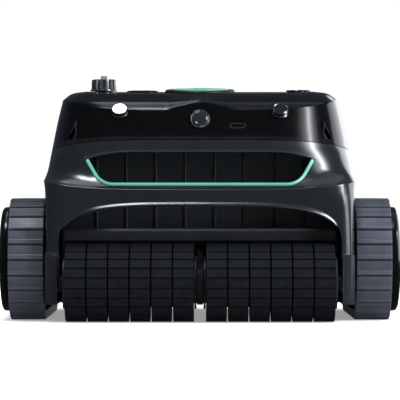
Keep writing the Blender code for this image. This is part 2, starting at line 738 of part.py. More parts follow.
def build_side_frame(name, side, mats):
    """Lower pillar and gear case: a beam with a tongue that reaches up inside the shell."""
    frame = add(f"{name}_side_frame", mirrored(prism([frame_plan()], FRAME_BOTTOM, FRAME_TOP, "Z"), side),
                mats["satin"])
    tongue = rectangle(-0.1700, -0.0600, FRAME_TOP - 0.010, TONGUE_TOP)
    boolean(frame, "UNION", mirrored(prism([tongue], FRAME_INNER_X, TONGUE_OUTER_X, "X"), side))
    places = gear_places()
    cavity = [(-0.1900 + 0.0030, 0.0230), (-0.1630, 0.0230), (-0.1340, 0.0280), (-0.1000, 0.0420)]
    cavity += [(-0.0700, 0.0620), (-0.0700, 0.0865), (-0.1400, 0.0865), (-0.1680, 0.0690)]
    cavity += [(-0.1870, 0.0570)]
    pocket = mirrored(prism([cavity], FRAME_INNER_X - 0.002, CAVITY_DEPTH_X, "X"), side)
    boolean(frame, "DIFFERENCE", pocket)
    pin = rod(GEAR_X[0], CAVITY_DEPTH_X + 0.001, *places["idler"], PIN_RADIUS, 12)
    boolean(frame, "UNION", mirrored(pin, side))
    holes = merge(
        rod(0.140, 0.170, FRONT_WHEEL_Y, WHEEL_Z, AXLE_RADIUS + GAP),
        rod(0.140, 0.170, REAR_WHEEL_Y, WHEEL_Z, AXLE_RADIUS + GAP),
        rod(0.140, 0.170, BRUSH_Y, BRUSH_Z, PIN_RADIUS + GAP, 12),
    )
    boolean(frame, "DIFFERENCE", mirrored(holes, side))


def gear_outline(center, teeth, start):
    """Outline of a spur gear with straight-sided teeth, one of them pointing along start."""
    root = teeth * MODULE / 2 - 1.20 * MODULE
    tip = teeth * MODULE / 2 + 0.80 * MODULE
    pitch = 2 * pi / teeth
    points = []
    for i in range(teeth):
        for share, radius in ((-0.27, root), (-0.13, tip), (0.13, tip), (0.27, root)):
            a = start + pitch * (i + share)
            points.append((center[0] + radius * cos(a), center[1] + radius * sin(a)))
    return points


def build_gear(name, kind, teeth, phase, bore, side, mats):
    """One gear of a side's train, its phase given in tooth pitches along the train's line."""
    dy, dz = train_line()
    center = gear_places()[kind]
    start = atan2(dz, dy) + phase * 2 * pi / teeth
    hole = circle(center, bore, 12)
    bm = prism([gear_outline(center, teeth, start), hole], *GEAR_X, "X")
    label = {"pinion": "motor_pinion"}.get(kind, f"{kind}_gear")
    add(f"{name}_{label}", mirrored(bm, side), mats["gear"], (side * GEAR_X[0], *center))


def build_drive(name, side, mats):
    """Motor, gears and axles of one side."""
    build_gear(name, "pinion", PINION_TEETH, 0.5, 0.0024, side, mats)
    build_gear(name, "drive", DRIVE_TEETH, 0.0, AXLE_RADIUS + GAP, side, mats)
    build_gear(name, "idler", IDLER_TEETH, 0.5, PIN_RADIUS + GAP, side, mats)
    build_gear(name, "brush", BRUSH_TEETH, 0.0, PIN_RADIUS + GAP, side, mats)
    pinion_y, pinion_z = gear_places()["pinion"]
    profile = [(0.0, 0.0640), (0.0150, 0.0640), (0.0180, 0.0680), (0.0180, 0.1130), (0.0155, 0.1150)]
    profile += [(0.0155, 0.1440), (0.0021, 0.1440), (0.0021, 0.1505), (0.0, 0.1505)]
    motor = turned(profile, 20, along_x(pinion_y, pinion_z))
    add(f"{name}_drive_motor", mirrored(motor, side), mats["steel"])
    front = rod(GEAR_X[0], TRACK_OUTER_X, FRONT_WHEEL_Y, WHEEL_Z, AXLE_RADIUS)
    pivot = (side * GEAR_X[0], FRONT_WHEEL_Y, WHEEL_Z)
    add(f"{name}_front_axle", mirrored(front, side), mats["steel"], pivot)
    rear = rod(FRAME_INNER_X + 0.0020, TRACK_OUTER_X, REAR_WHEEL_Y, WHEEL_Z, AXLE_RADIUS)
    add(f"{name}_rear_axle", mirrored(rear, side), mats["steel"])


# ---------------------------------------------------------------- brushes
def build_brush(name, side, mats):
    """Shaft, tube and flanges of one roller, and the rubber sleeve with its fins."""
    pivot = (side * BRUSH_INNER_X, BRUSH_Y, BRUSH_Z)
    tube = 0.0200
    inner, outer = BRUSH_INNER_X, BRUSH_OUTER_X
    profile = [(0.0, 0.0005), (SHAFT_RADIUS, 0.0005), (SHAFT_RADIUS, inner - 0.0026)]
    profile += [(FLANGE_RADIUS, inner - 0.0026), (FLANGE_RADIUS, inner - GAP), (tube, inner - GAP)]
    profile += [(tube, outer + GAP), (FLANGE_RADIUS, outer + GAP), (FLANGE_RADIUS, outer + 0.0026)]
    profile += [(SHAFT_RADIUS, outer + 0.0026), (SHAFT_RADIUS, GEAR_X[0] - GAP)]
    profile += [(PIN_RADIUS, GEAR_X[0] - GAP), (PIN_RADIUS, 0.1570), (0.0, 0.1570)]
    core = turned(profile, 24, along_x(BRUSH_Y, BRUSH_Z))
    add(f"{name}_brush_core", mirrored(core, side), mats["matte"], pivot)
    pitch = 2 * pi / FIN_COUNT
    outline = []
    for i in range(FIN_COUNT):
        for radius, share in ((DRUM_RADIUS, -FIN_ROOT_SHARE), (BRUSH_RADIUS, -FIN_TIP_SHARE),
                              (BRUSH_RADIUS, FIN_TIP_SHARE), (DRUM_RADIUS, FIN_ROOT_SHARE)):
            a = -pi / 2 + pitch * (i + share / 2)
            outline.append((BRUSH_Y + radius * cos(a), BRUSH_Z + radius * sin(a)))
    bore = circle((BRUSH_Y, BRUSH_Z), tube + GAP, 24)
    fins = prism([outline, bore], inner, outer, "X")
    add(f"{name}_brush_fins", mirrored(fins, side), mats["fin"], pivot)
    ring = [circle((BRUSH_Y, BRUSH_Z), 0.0090, 16), circle((BRUSH_Y, BRUSH_Z), SHAFT_RADIUS + GAP, 16)]
    bushing = prism(ring, outer + 0.0029, FRAME_INNER_X - GAP, "X")
    add(f"{name}_brush_bushing", mirrored(bushing, side), mats["matte"])


# ---------------------------------------------------------------- front face
def lens_matrix():
    """Frame of the camera: its Z points out of the tilted face."""
    return Matrix.Translation(LENS_PLACE) @ Matrix.Rotation(pi / 2 - FACE_TILT, 4, "X")


def eye_matrix(side):
    """Frame of a side sensor: its Z points forward, up and a little outward."""
    x, y, z = EYE_PLACE
    turn = Matrix.Rotation(side * radians(8), 4, "Y") @ Matrix.Rotation(radians(45), 4, "X")
    return Matrix.Translation((side * x, y, z)) @ turn


def slot_shape(clear, low, high):
    """Upright plate with round ends that fills the status window, placed on the face."""
    outline = rectangle(-0.0078 - clear, 0.0078 + clear, -0.0029 - clear, 0.0029 + clear, 0.0024)
    bm = prism([outline], low, high, "Z")
    matrix = Matrix.Translation(SLOT_PLACE) @ Matrix.Rotation(pi / 2 - FACE_TILT, 4, "X")
    bmesh.ops.transform(bm, matrix=matrix, verts=bm.verts)
    return bm


def build_face(mats):
    lens = [(0.0, -0.0150), (0.0080, -0.0150), (0.0080, 0.0006), (0.0100, 0.0006), (0.0100, 0.0024)]
    lens += [(0.0085, 0.0032), (0.0, 0.0032)]
    add("camera_lens", turned(lens, 24, lens_matrix()), mats["lens"])
    eye = [(0.0, -0.0200), (EYE_RADIUS, -0.0200), (EYE_RADIUS, -0.0006), (EYE_RADIUS - 0.0006, 0.0)]
    eye += [(0.0, 0.0)]
    add("left_sensor", turned(eye, 20, eye_matrix(-1)), mats["lens"])
    add("right_sensor", turned(eye, 20, eye_matrix(1)), mats["lens"])
    add("status_window", slot_shape(0.0, -0.0080, 0.0006), mats["lens"])


# ---------------------------------------------------------------- roof and pump
def button_outline(clear):
    return [(BUTTON_X + (0.0145 + clear) * cos(a), BUTTON_Y + (0.0080 + clear) * sin(a))
            for a in steps(20)]


def build_roof_controls(mats):
    base = 0.2392
    flutes = []
    for i in range(FLUTES):
        for share, radius in ((-0.36, 0.0), (-0.18, 0.0), (0.18, 0.0), (0.36, 0.0), (0.5, -0.0016)):
            a = 2 * pi * (i + share) / FLUTES
            reach = KNOB_RADIUS + radius
            flutes.append((KNOB_X + reach * cos(a), KNOB_Y + reach * sin(a)))
    well = circle((KNOB_X, KNOB_Y), 0.0095, 20)
    cap = add("charge_cap", prism([flutes, well], base, 0.2490, "Z"), mats["matte"],
              (KNOB_X, KNOB_Y, base))
    top = turned([(0.0, 0.2480), (0.0124, 0.2480), (0.0124, 0.2505), (0.0110, 0.2520), (0.0, 0.2520)], 24,
                 Matrix.Translation((KNOB_X, KNOB_Y, 0.0)))
    boolean(cap, "UNION", top)
    tab = rectangle(KNOB_X - 0.0032, KNOB_X + 0.0032, 0.2510, 0.2556, 0.0012)
    boolean(cap, "UNION", prism([tab], KNOB_Y - 0.0010, KNOB_Y + 0.0010, "Y"))
    socket = [(0.0, 0.2150), (0.0090, 0.2150), (0.0090, 0.2470), (0.0070, 0.2470), (0.0070, 0.2300)]
    socket += [(0.0, 0.2300)]
    place_socket = Matrix.Translation((KNOB_X, KNOB_Y, 0.0))
    add("charge_socket", turned(socket, 20, place_socket), mats["matte"])
    add("power_button", prism([button_outline(0.0)], 0.2340, 0.2401, "Z"), mats["gloss"],
        (BUTTON_X, BUTTON_Y, 0.2401))
    sensor = [(0.0, 0.2250), (0.0097, 0.2250), (0.0097, 0.2392), (0.0130, 0.2392), (0.0130, 0.2396)]
    sensor += [(0.0115, 0.2404), (0.0, 0.2404)]
    place_sensor = Matrix.Translation((SENSOR_CAP_X, SENSOR_CAP_Y, 0.0))
    add("pressure_sensor", turned(sensor, 24, place_sensor), mats["matte"])


def outlet_matrix():
    center = (0.0, OUTLET_Y, deck_height(OUTLET_Y))
    return Matrix.Translation(center) @ Matrix.Rotation(deck_tilt(), 4, "X")


def build_outlet(mats):
    ring = [(0.0305, -0.0040), (0.0328, -0.0040), (0.0328, GAP), (OUTLET_RADIUS, GAP)]
    ring += [(OUTLET_RADIUS, 0.0020), (0.0350, 0.0031), (0.0305, 0.0031)]
    add("outlet_ring", turned(ring, 36, outlet_matrix()), mats["matte"])
    spokes = 8
    loops = [circle((0.0, 0.0), 0.0302, 32)]
    for i in range(spokes):
        hole = []
        for radius, share, direction in ((0.0100, 0.30, 1), (0.0265, 0.42, -1)):
            for k in (-1.0, -0.33, 0.33, 1.0):
                a = 2 * pi * (i + share * k * direction) / spokes
                hole.append((radius * cos(a), radius * sin(a)))
        loops.append(hole)
    bm = prism(loops, 0.0010, 0.0038, "Z")
    bmesh.ops.transform(bm, matrix=outlet_matrix(), verts=bm.verts)
    add("outlet_grille", bm, mats["teal"])


def build_pump(mats):
    inner, outer = PUMP_DUCT_RADII
    center = Matrix.Translation((0.0, OUTLET_Y, 0.0))
    duct = [(inner, 0.1700), (outer, 0.1700), (outer, 0.2310), (inner, 0.2310)]
    housing = add("pump_housing", turned(duct, 28, center), mats["matte"])
    bar = 0.0035
    reach = outer - 0.001
    cross = [(reach, -bar), (reach, bar), (bar, bar), (bar, reach), (-bar, reach), (-bar, bar)]
    cross += [(-reach, bar), (-reach, -bar), (-bar, -bar), (-bar, -reach), (bar, -reach), (bar, -bar)]
    cross = [(x, y + OUTLET_Y) for x, y in cross]
    boolean(housing, "UNION", prism([cross], 0.1705, 0.1755, "Z"))
    boolean(housing, "UNION", prism([circle((0.0, OUTLET_Y), 0.0090, 16)], 0.1702, 0.1765, "Z"))
    boolean(housing, "DIFFERENCE", prism([circle((0.0, OUTLET_Y), 0.0034, 12)], 0.160, 0.190, "Z"))
    motor = [(0.0, 0.0950), (0.0180, 0.0950), (0.0200, 0.0980), (0.0200, 0.1640), (0.0180, 0.1670)]
    motor += [(0.0, 0.1670)]
    add("pump_motor", turned(motor, 20, center), mats["steel"])
    hub = [(0.0, 0.1690), (0.0030, 0.1690), (0.0030, 0.1850), (0.0090, 0.1850), (0.0090, 0.2030)]
    hub += [(0.0060, 0.2070), (0.0, 0.2090)]
    impeller = add("impeller", turned(hub, 16, center), mats["teal"], (0.0, OUTLET_Y, 0.1850))
    blades = []
    for angle in steps(5):
        blade = block((0.0060, IMPELLER_RADIUS), (-0.0080, 0.0080), (-0.0008, 0.0008))
        turn = Matrix.Rotation(angle, 4, "Z") @ Matrix.Rotation(radians(35), 4, "X")
        matrix = Matrix.Translation((0.0, OUTLET_Y, 0.1940)) @ turn
        bmesh.ops.transform(blade, matrix=matrix, verts=blade.verts)
        blades.append(blade)
    boolean(impeller, "UNION", merge(*blades))


# ---------------------------------------------------------------- filter, floor and electrics
def build_filter(mats):
    lid = add("filter_lid", block((-LID_X, LID_X), LID_Y, (LID_BOTTOM, LID_TOP), 0.008), mats["gloss"],
              (0.0, LID_Y[1], LID_TOP))
    pocket = block((-0.0140, 0.0140), (-0.0160, 0.0030), (0.230, 0.250), 0.002)
    boolean(lid, "DIFFERENCE", pocket)
    latch = block((-0.0137, 0.0137), (-0.0157, -0.0030), (LID_BOTTOM, LID_TOP), 0.002)
    add("lid_latch", latch, mats["teal"], (0.0, -0.0157, LID_TOP))
    x, y, z = 0.0880, (-0.0080, 0.1200), (0.0620, 0.2356)
    basket = add("filter_basket", block((-x, x), y, z, 0.010), mats["mesh"])
    wall = 0.0025
    inside = block((-x + wall, x - wall), (y[0] + wall, y[1] - wall), (z[0] + wall, 0.250), 0.008)
    boolean(basket, "DIFFERENCE", inside)
    windows = []
    for i in range(3):
        center = -0.0540 + 0.0540 * i
        windows.append(block((center - 0.022, center + 0.022), (-0.03, 0.15), (0.085, 0.205)))
    for i in range(2):
        center = 0.0260 + 0.0600 * i
        windows.append(block((-0.12, -0.08), (center - 0.022, center + 0.022), (0.085, 0.205)))
        windows.append(block((0.08, 0.12), (center - 0.022, center + 0.022), (0.085, 0.205)))
    windows.append(block((-0.0490, 0.0490), (0.0530, 0.0870), (0.050, 0.070)))
    boolean(basket, "DIFFERENCE", merge(*windows))
    flap = block((-0.0480, 0.0480), (0.0500, 0.0895), (z[0] + wall + GAP, z[0] + wall + 0.0020))
    add("suction_flap", flap, mats["fin"], (0.0, 0.0500, z[0] + wall + GAP))
    outer = rectangle(-0.0560, 0.0560, 0.0460, 0.0940)
    hole = rectangle(-SUCTION_X, SUCTION_X, *SUCTION_Y)
    duct = prism([outer, hole], FRAME_BOTTOM + FLOOR_WALL + GAP, z[0] - GAP, "Z")
    add("suction_duct", duct, mats["matte"])


def build_electrics(mats):
    battery = add("battery_pack", block((-0.085, 0.085), (-0.060, 0.043), (0.0250, 0.0570), 0.006),
                  mats["cell"])
    bevel = battery.modifiers.new("edges", "BEVEL")
    bevel.width = 0.002
    bevel.segments = 1
    board = rectangle(-0.060, 0.060, 0.0900, 0.1700, 0.003)
    add("control_board", prism([board], -0.0280, -0.0264, "Y"), mats["board"])


# ---------------------------------------------------------------- assembly
def main():
    for old in list(bpy.data.objects):
        bpy.data.objects.remove(old, do_unlink=True)
    base = bpy.data.objects.new("pool_cleaner", None)
    bpy.context.scene.collection.objects.link(base)
    mats = make_materials()
    build_upper_shell(mats)
    build_top_cover(mats)
    build_service_deck(mats)
    build_handle_trim(mats)
    build_grille_panel(mats)
    build_brush_housing(mats)
    build_center_bracket(mats)
    build_bottom_plate(mats)
    build_rear_bumper(mats)
    for name, side in (("left", -1), ("right", 1)):
        build_side_frame(name, side, mats)
        build_track_belt(name, side, mats)
        build_side_cover(name, side, mats)
        build_wheel(name, "front", FRONT_WHEEL_Y, side, mats)
        build_wheel(name, "rear", REAR_WHEEL_Y, side, mats)
        build_drive(name, side, mats)
        build_brush(name, side, mats)
    build_face(mats)
    build_roof_controls(mats)
    build_outlet(mats)
    build_pump(mats)
    build_filter(mats)
    build_electrics(mats)


main()
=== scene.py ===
"""Looks of a tracked pool cleaner, built round its CAD model. Metres, +Z up, -Y is the front."""
from math import atan2, cos, hypot, pi, radians, sin, tan

import bmesh
import bpy
from mathutils import Matrix, Vector
from mathutils.geometry import tessellate_polygon


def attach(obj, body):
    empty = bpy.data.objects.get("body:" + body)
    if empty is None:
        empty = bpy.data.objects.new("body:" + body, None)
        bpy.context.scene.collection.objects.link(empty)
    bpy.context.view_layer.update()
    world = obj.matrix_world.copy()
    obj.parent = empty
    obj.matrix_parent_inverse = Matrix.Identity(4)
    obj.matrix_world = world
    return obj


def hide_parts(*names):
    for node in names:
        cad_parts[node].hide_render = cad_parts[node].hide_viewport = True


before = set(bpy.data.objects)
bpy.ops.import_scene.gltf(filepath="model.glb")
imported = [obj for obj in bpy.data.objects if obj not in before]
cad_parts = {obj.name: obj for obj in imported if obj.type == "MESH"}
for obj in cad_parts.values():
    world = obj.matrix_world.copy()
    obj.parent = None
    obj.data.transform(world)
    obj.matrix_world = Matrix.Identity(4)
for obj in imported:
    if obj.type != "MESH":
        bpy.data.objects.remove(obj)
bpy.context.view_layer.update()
SIDES = (("left", -1), ("right", 1))

# ---------------- sizes shared with the CAD model
SKIN_ROWS = (
    (0.0689, -0.1900, 0.0689, 0.1580, 0.2030, 30.0),
    (0.1100, -0.1905, 0.1100, 0.1580, 0.2032, 26.0),
    (0.1270, -0.1920, 0.1350, 0.1597, 0.2038, 15.0),
    (0.1350, -0.1930, 0.1440, 0.1615, 0.2040, 11.5),
    (0.1390, -0.1855, 0.1480, 0.1606, 0.2020, 9.5),
    (0.1500, -0.1775, 0.1560, 0.1588, 0.1990, 7.5),
    (0.1740, -0.1715, 0.1700, 0.1570, 0.1940, 5.9),
    (0.1860, -0.1680, 0.1768, 0.1560, 0.1900, 5.4),
    (0.2050, -0.1600, 0.2060, 0.1505, 0.1800, 5.2),
    (0.2168, -0.1550, 0.2293, 0.1450, 0.1660, 5.2),
    (0.2242, -0.1460, 0.2303, 0.1440, 0.1645, 5.2),
    (0.2335, -0.1210, 0.2365, 0.1360, 0.1570, 5.3),
    (0.2352, -0.1070, 0.2389, 0.1220, 0.1480, 5.5),
)
CREASE_ROW, SEAM_ROW, TOP_EDGE_ROW = 3, 7, 9
SIDE_LOWER_ROW, SIDE_UPPER_ROW = 4.8, 6.0     # rows that carry the opening's edges on round the sides
SKIN_BREAKS = (0, CREASE_ROW, TOP_EDGE_ROW, 12)
ROUNDING = {CREASE_ROW: 0.16, TOP_EDGE_ROW: 0.1}     # how far, in rows, each edge of the skin is rounded
SIDE_RISE_POWER = 4.5
ARCH_HALF_WIDTH, ARCH_HEIGHT, ARCH_SQUARENESS = 0.1446, 0.0505, 3.7
OPENING_FLOOR, OPENING_TOP, OPENING_TOP_FLAT = 0.1382, 0.1739, 0.0715
OPENING_CORNER_X, OPENING_CORNER_DROP = 0.1178, 0.0076
FILLET_CENTER_X, FILLET_CENTER_Z, FILLET_RADIUS = 0.0886, 0.1618, 0.0236
DIAGONAL_SLOPE = radians(60)
CORNER_SHARE = 0.6
LIP_HEIGHT, LIP_REACH, LIP_START = 0.003, 0.004, 0.096
WHEEL_Z, FRONT_WHEEL_Y, REAR_WHEEL_Y = 0.063, -0.11, 0.12
TRACK_RADIUS, LUG_HEIGHT, BELT_INNER_RADIUS = 0.063, 0.0035, 0.0535
TRACK_X = (0.1603, 0.1965)
LUGS_PER_ARC, LUGS_PER_RUN = 12, 14
BRUSH_Y, BRUSH_Z, BRUSH_RADIUS, DRUM_RADIUS = -0.175, 0.0402, 0.04, 0.025
BRUSH_X = (0.0061, 0.137)
FIN_COUNT, SEGMENTS = 24, 6
SEGMENT_RADIUS, SEGMENT_GAP = 0.0386, 0.0006
DECK_TOP, DECK_FRONT_TOP, DECK_FRONT_Y, DECK_BEND_Y = 0.2389, 0.235, -0.1068, -0.05
OUTLET_Y, OUTLET_VANES = -0.066, 16
KNOB, KNOB_FLUTES = (-0.1018, -0.06), 14
BUTTON = (-0.0608, -0.06)
SENSOR_CAP = (0.104, -0.06)
FACE_TILT = radians(22.9)
LENS_PLACE = (0.0, -0.1594, 0.2068)
EYE_PLACE = (0.0826, -0.1575, 0.2183)
SLOT_PLACE = (0.0383, -0.1615, 0.2004)
NOTCH = ((0.128, 0.1871), (0.128, 0.2051), (0.136, 0.1871))


# ---------------- materials
def shade(nodes, kind, **inputs):
    """A new shader node with its inputs set, or linked where a socket is given."""
    item = nodes.nodes.new(kind)
    for key, value in inputs.items():
        socket = item.inputs.get(key.replace("_", " ")) or item.inputs[int(key[1:])]
        if isinstance(value, bpy.types.NodeSocket):
            nodes.links.new(value, socket)
        else:
            socket.default_value = value
    return item


def set_inputs(node, values):
    for key, value in values.items():
        node.inputs[key].default_value = value


def remap(nodes, value, *limits):
    """Maps a range of values onto another: limits are from low, from high, to low and to high."""
    item = shade(nodes, "ShaderNodeMapRange", Value=value)
    set_inputs(item, dict(zip(("From Min", "From Max", "To Min", "To Max"), limits)))
    return item.outputs["Result"]


def finish(name, color, roughness, metallic=0.0, grain=0.1, grain_size=0.0005, mottle=0.22,
           patch=0.02, wear_and_sheen=0.0, wear_and_sheen_color=(0.1, 0.105, 0.11), coat=0.0, specular=0.5,
           stretch=(1, 1, 1)):
    """Moulded or turned surface: colour and gloss drift in patches, a fine grain, and paler edges that stand
    for wear and, on the track rubber, also for painted highlights along the lug edges.
    """
    mat = bpy.data.materials.new(name)
    mat.use_nodes = True
    tree = mat.node_tree
    shader = tree.nodes["Principled BSDF"]
    place = shade(tree, "ShaderNodeMapping", Vector=shade(tree, "ShaderNodeTexCoord").outputs["Object"])
    place.inputs["Scale"].default_value = stretch
    where = place.outputs["Vector"]
    drift = shade(tree, "ShaderNodeTexNoise", Vector=where, Scale=1 / patch, Detail=5.0, Roughness=0.62)
    ramp = shade(tree, "ShaderNodeValToRGB", Fac=drift.outputs["Fac"])
    for stop, level, at in zip(ramp.color_ramp.elements, (1 - mottle, 1 + mottle), (0.3, 0.72)):
        stop.color = (*[min(1.0, c * level) for c in color], 1.0)
        stop.position = at
    tint = ramp.outputs["Color"]
    # Convex edges turn paler: wear, and on the track rubber also a painted highlight along the lug edges.
    if wear_and_sheen:
        edge = remap(tree, shade(tree, "ShaderNodeNewGeometry").outputs["Pointiness"], 0.52, 0.62, 0.0, wear_and_sheen)
        wear_and_sheen_mask = shade(tree, "ShaderNodeMath", i0=edge, i1=drift.outputs["Fac"])
        wear_and_sheen_mask.operation = "MULTIPLY"
        blend = shade(tree, "ShaderNodeMixRGB", Fac=wear_and_sheen_mask.outputs["Value"], Color1=tint,
                      Color2=(*wear_and_sheen_color, 1.0))
        tint = blend.outputs["Color"]
    tree.links.new(tint, shader.inputs["Base Color"])
    gloss = remap(tree, drift.outputs["Fac"], 0.25, 0.75, roughness * 0.85, min(1.0, roughness * 1.2))
    tree.links.new(gloss, shader.inputs["Roughness"])
    fine = shade(tree, "ShaderNodeTexNoise", Vector=where, Scale=1 / grain_size, Detail=3.0)
    bump = shade(tree, "ShaderNodeBump", Height=fine.outputs["Fac"], Strength=grain, Distance=0.0004)
    tree.links.new(bump.outputs["Normal"], shader.inputs["Normal"])
    set_inputs(shader, {"Metallic": metallic, "Specular IOR Level": specular, "Coat Weight": coat,
                        "Coat Roughness": 0.05})
    mat.diffuse_color = (*color, 1.0)
    return mat


def board_finish():
    """Lacquered circuit board: copper tracks in a grid under green lacquer."""
    mat = finish("circuit_board", (0.015, 0.1, 0.045), 0.35, coat=0.4)
    tree = mat.node_tree
    shader = tree.nodes["Principled BSDF"]
    where = shade(tree, "ShaderNodeTexCoord").outputs["Object"]
    lines = shade(tree, "ShaderNodeTexVoronoi", Vector=where, Scale=240.0)
    lines.distance = "MANHATTAN"
    ramp = shade(tree, "ShaderNodeValToRGB", Fac=lines.outputs["Distance"])
    ramp.color_ramp.elements[0].position = 0.42
    ramp.color_ramp.elements[0].color = (0.02, 0.16, 0.07, 1.0)
    ramp.color_ramp.elements[1].position = 0.5
    ramp.color_ramp.elements[1].color = (0.012, 0.07, 0.035, 1.0)
    tree.links.new(ramp.outputs["Color"], shader.inputs["Base Color"])
    return mat


MATS = {
    "gloss": finish("gloss_black_plastic", (0.0013, 0.0013, 0.0014), 0.15, grain=0.012, grain_size=0.003,
                    mottle=0.15, patch=0.05, wear_and_sheen=0.25, wear_and_sheen_color=(0.03, 0.03, 0.032), specular=0.28),
    "satin": finish("satin_graphite_plastic", (0.0058, 0.0072, 0.0092), 0.19, grain=0.05, grain_size=0.0006,
                    mottle=0.1, patch=0.03, wear_and_sheen=0.55, wear_and_sheen_color=(0.05, 0.054, 0.06), specular=0.8),
    "matte": finish("matte_black_plastic", (0.0055, 0.007, 0.0092), 0.4, grain=0.14, mottle=0.18,
                    wear_and_sheen=0.5, wear_and_sheen_color=(0.05, 0.05, 0.052), specular=0.3),
    "panel": finish("panel_plastic", (0.0068, 0.0086, 0.0106), 0.3, grain=0.08, mottle=0.1),
    # Paler lug edges on the track rubber: partly wear, partly a painted highlight where the lug edges would
    # catch the light.
    "rubber": finish("slate_track_rubber", (0.029, 0.033, 0.045), 0.36, grain=0.12, grain_size=0.0007,
                     mottle=0.14, patch=0.012, wear_and_sheen=0.4, wear_and_sheen_color=(0.13, 0.14, 0.17), specular=0.4),
    "fin": finish("brush_rubber", (0.0026, 0.0032, 0.0042), 0.6, grain=0.12, grain_size=0.0007,
                  mottle=0.16, patch=0.01, wear_and_sheen=0.25, wear_and_sheen_color=(0.012, 0.014, 0.018), specular=0.07),
    "teal": finish("teal_plastic", (0.072, 0.285, 0.2), 0.3, grain=0.04, mottle=0.06, wear_and_sheen=0.3,
                   wear_and_sheen_color=(0.35, 0.7, 0.6)),
    "knob": finish("knob_plastic", (0.012, 0.014, 0.0165), 0.17, grain=0.06, mottle=0.12, wear_and_sheen=0.6,
                   wear_and_sheen_color=(0.09, 0.095, 0.1), specular=0.9),
    "lens": finish("lens_glass", (0.015, 0.0165, 0.019), 0.06, grain=0.0, mottle=0.15, coat=1.0),
    # Pale mirror finish: used for the sensor rims, and as a painted reflection on the left sensor's glass
    # alone.
    "eye": finish("mirror_rims_and_painted_left_glass", (0.8, 0.8, 0.84), 0.2, metallic=1.0, grain=0.02,
                  mottle=0.05, coat=0.5),
    # Painted highlight: the pale colour of the two inlays that stand for glints on the lens.
    "painted_glint": finish("painted_lens_highlight", (0.3, 0.32, 0.36), 0.2, grain=0.0, mottle=0.05),
    "steel": finish("stainless_steel", (0.5, 0.51, 0.53), 0.24, metallic=1.0, grain=0.06,
                    stretch=(0.15, 1, 1), mottle=0.12),
    "gear": finish("white_acetal", (0.62, 0.61, 0.57), 0.36, grain=0.06, mottle=0.08),
    "cell": finish("battery_wrap", (0.02, 0.06, 0.16), 0.3, grain=0.05, mottle=0.15, coat=0.3),
    "mesh": finish("filter_plastic", (0.045, 0.05, 0.055), 0.42, grain=0.12, mottle=0.15, wear_and_sheen=0.4),
    "board": board_finish(),
}


# ---------------- mesh helpers
def as_mesh(bm, name):
    """Turns a bmesh into mesh data and frees it."""
    mesh = bpy.data.meshes.new(name)
    bm.to_mesh(mesh)
    bm.free()
    return mesh


def placed(name, data):
    """A new object in the scene."""
    obj = bpy.data.objects.new(name, data)
    bpy.context.scene.collection.objects.link(obj)
    return obj


def piece(name, bm, mat, body="body", stands_for=(), angle=32.0, bevel=0.0, cuts=2):
    """A finished piece of the visual model, riding on a CAD body."""
    bmesh.ops.remove_doubles(bm, verts=bm.verts, dist=1e-6)
    bmesh.ops.recalc_face_normals(bm, faces=bm.faces)
    mesh = as_mesh(bm, name)
    mesh.materials.append(MATS[mat])
    mesh.shade_smooth()
    mesh.set_sharp_from_angle(angle=radians(angle))
    obj = placed(name, mesh)
    if bevel:
        round_edges(obj, bevel, cuts, angle)
    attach(obj, body)
    if stands_for:
        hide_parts(*stands_for)
    return obj


def round_edges(obj, width, cuts=2, angle=32.0):
    """Rounds a piece's edges so that they catch the light."""
    edge = obj.modifiers.new("round edges", "BEVEL")
    edge.width = width
    edge.segments = cuts
    edge.limit_method = "ANGLE"
    edge.angle_limit = radians(angle)
    edge.harden_normals = True
    edge.use_clamp_overlap = True


def dress(node, mat, bevel=0.0, cuts=2, angle=32.0):
    """A carried-over CAD node gets a finish, and rounded edges where a width is given."""
    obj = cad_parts[node]
    obj.data.materials.clear()
    obj.data.materials.append(MATS[mat])
    if bevel:
        weld = obj.modifiers.new("weld", "WELD")
        weld.merge_threshold = 1e-6
        round_edges(obj, bevel, cuts, angle)


def oval(center, a, b, segments=64):
    return [(center[0] + a * cos(t), center[1] + b * sin(t))
            for t in [2 * pi * i / segments for i in range(segments)]]


def rounded(points, radius, pieces=6):
    """Outline of a polygon with its corners rounded by arcs."""
    outline = []
    for i, point in enumerate(points):
        here = Vector(point)
        before = (Vector(points[i - 1]) - here).normalized()
        after = (Vector(points[(i + 1) % len(points)]) - here).normalized()
        half = before.angle(after) / 2
        center = here + (before + after).normalized() * radius / sin(half)
        start = here + before * radius / tan(half) - center
        end = here + after * radius / tan(half) - center
        turn = start.angle_signed(end)
        for k in range(pieces + 1):
            spoke = start.copy()
            spoke.rotate(Matrix.Rotation(-turn * k / pieces, 2))
            outline.append(tuple(center + spoke))
    return outline


def rectangle(a_low, a_high, b_low, b_high, radius=0.0, pieces=6):
    corners = [(a_low, b_low), (a_high, b_low), (a_high, b_high), (a_low, b_high)]
    return rounded(corners, radius, pieces) if radius else corners


AXES = {"X": lambda a, b, h: (h, a, b), "Y": lambda a, b, h: (a, h, b), "Z": lambda a, b, h: (a, b, h)}


def stack(levels, axis="Z", bm=None):
    """A closed solid through levels of (height, loops): the first loop is the outline, the rest are holes."""
    bm = bm or bmesh.new()
    rows = []
    for height, loops in levels:
        rows.append([[bm.verts.new(AXES[axis](a, b, height)) for a, b in loop] for loop in loops])
    for level, row in ((levels[0], rows[0]), (levels[-1], rows[-1])):
        flat = [vert for ring in row for vert in ring]
        for tri in tessellate_polygon([[Vector((a, b, 0.0)) for a, b in loop] for loop in level[1]]):
            bm.faces.new([flat[index] for index in tri])
    for lower, upper in zip(rows, rows[1:]):
        for low, high in zip(lower, upper):
            for i in range(len(low)):
                j = (i + 1) % len(low)
                bm.faces.new((low[i], low[j], high[j], high[i]))
    return bm


def prism(loops, low, high, axis="Z", bm=None):
    return stack([(low, loops), (high, loops)], axis, bm)


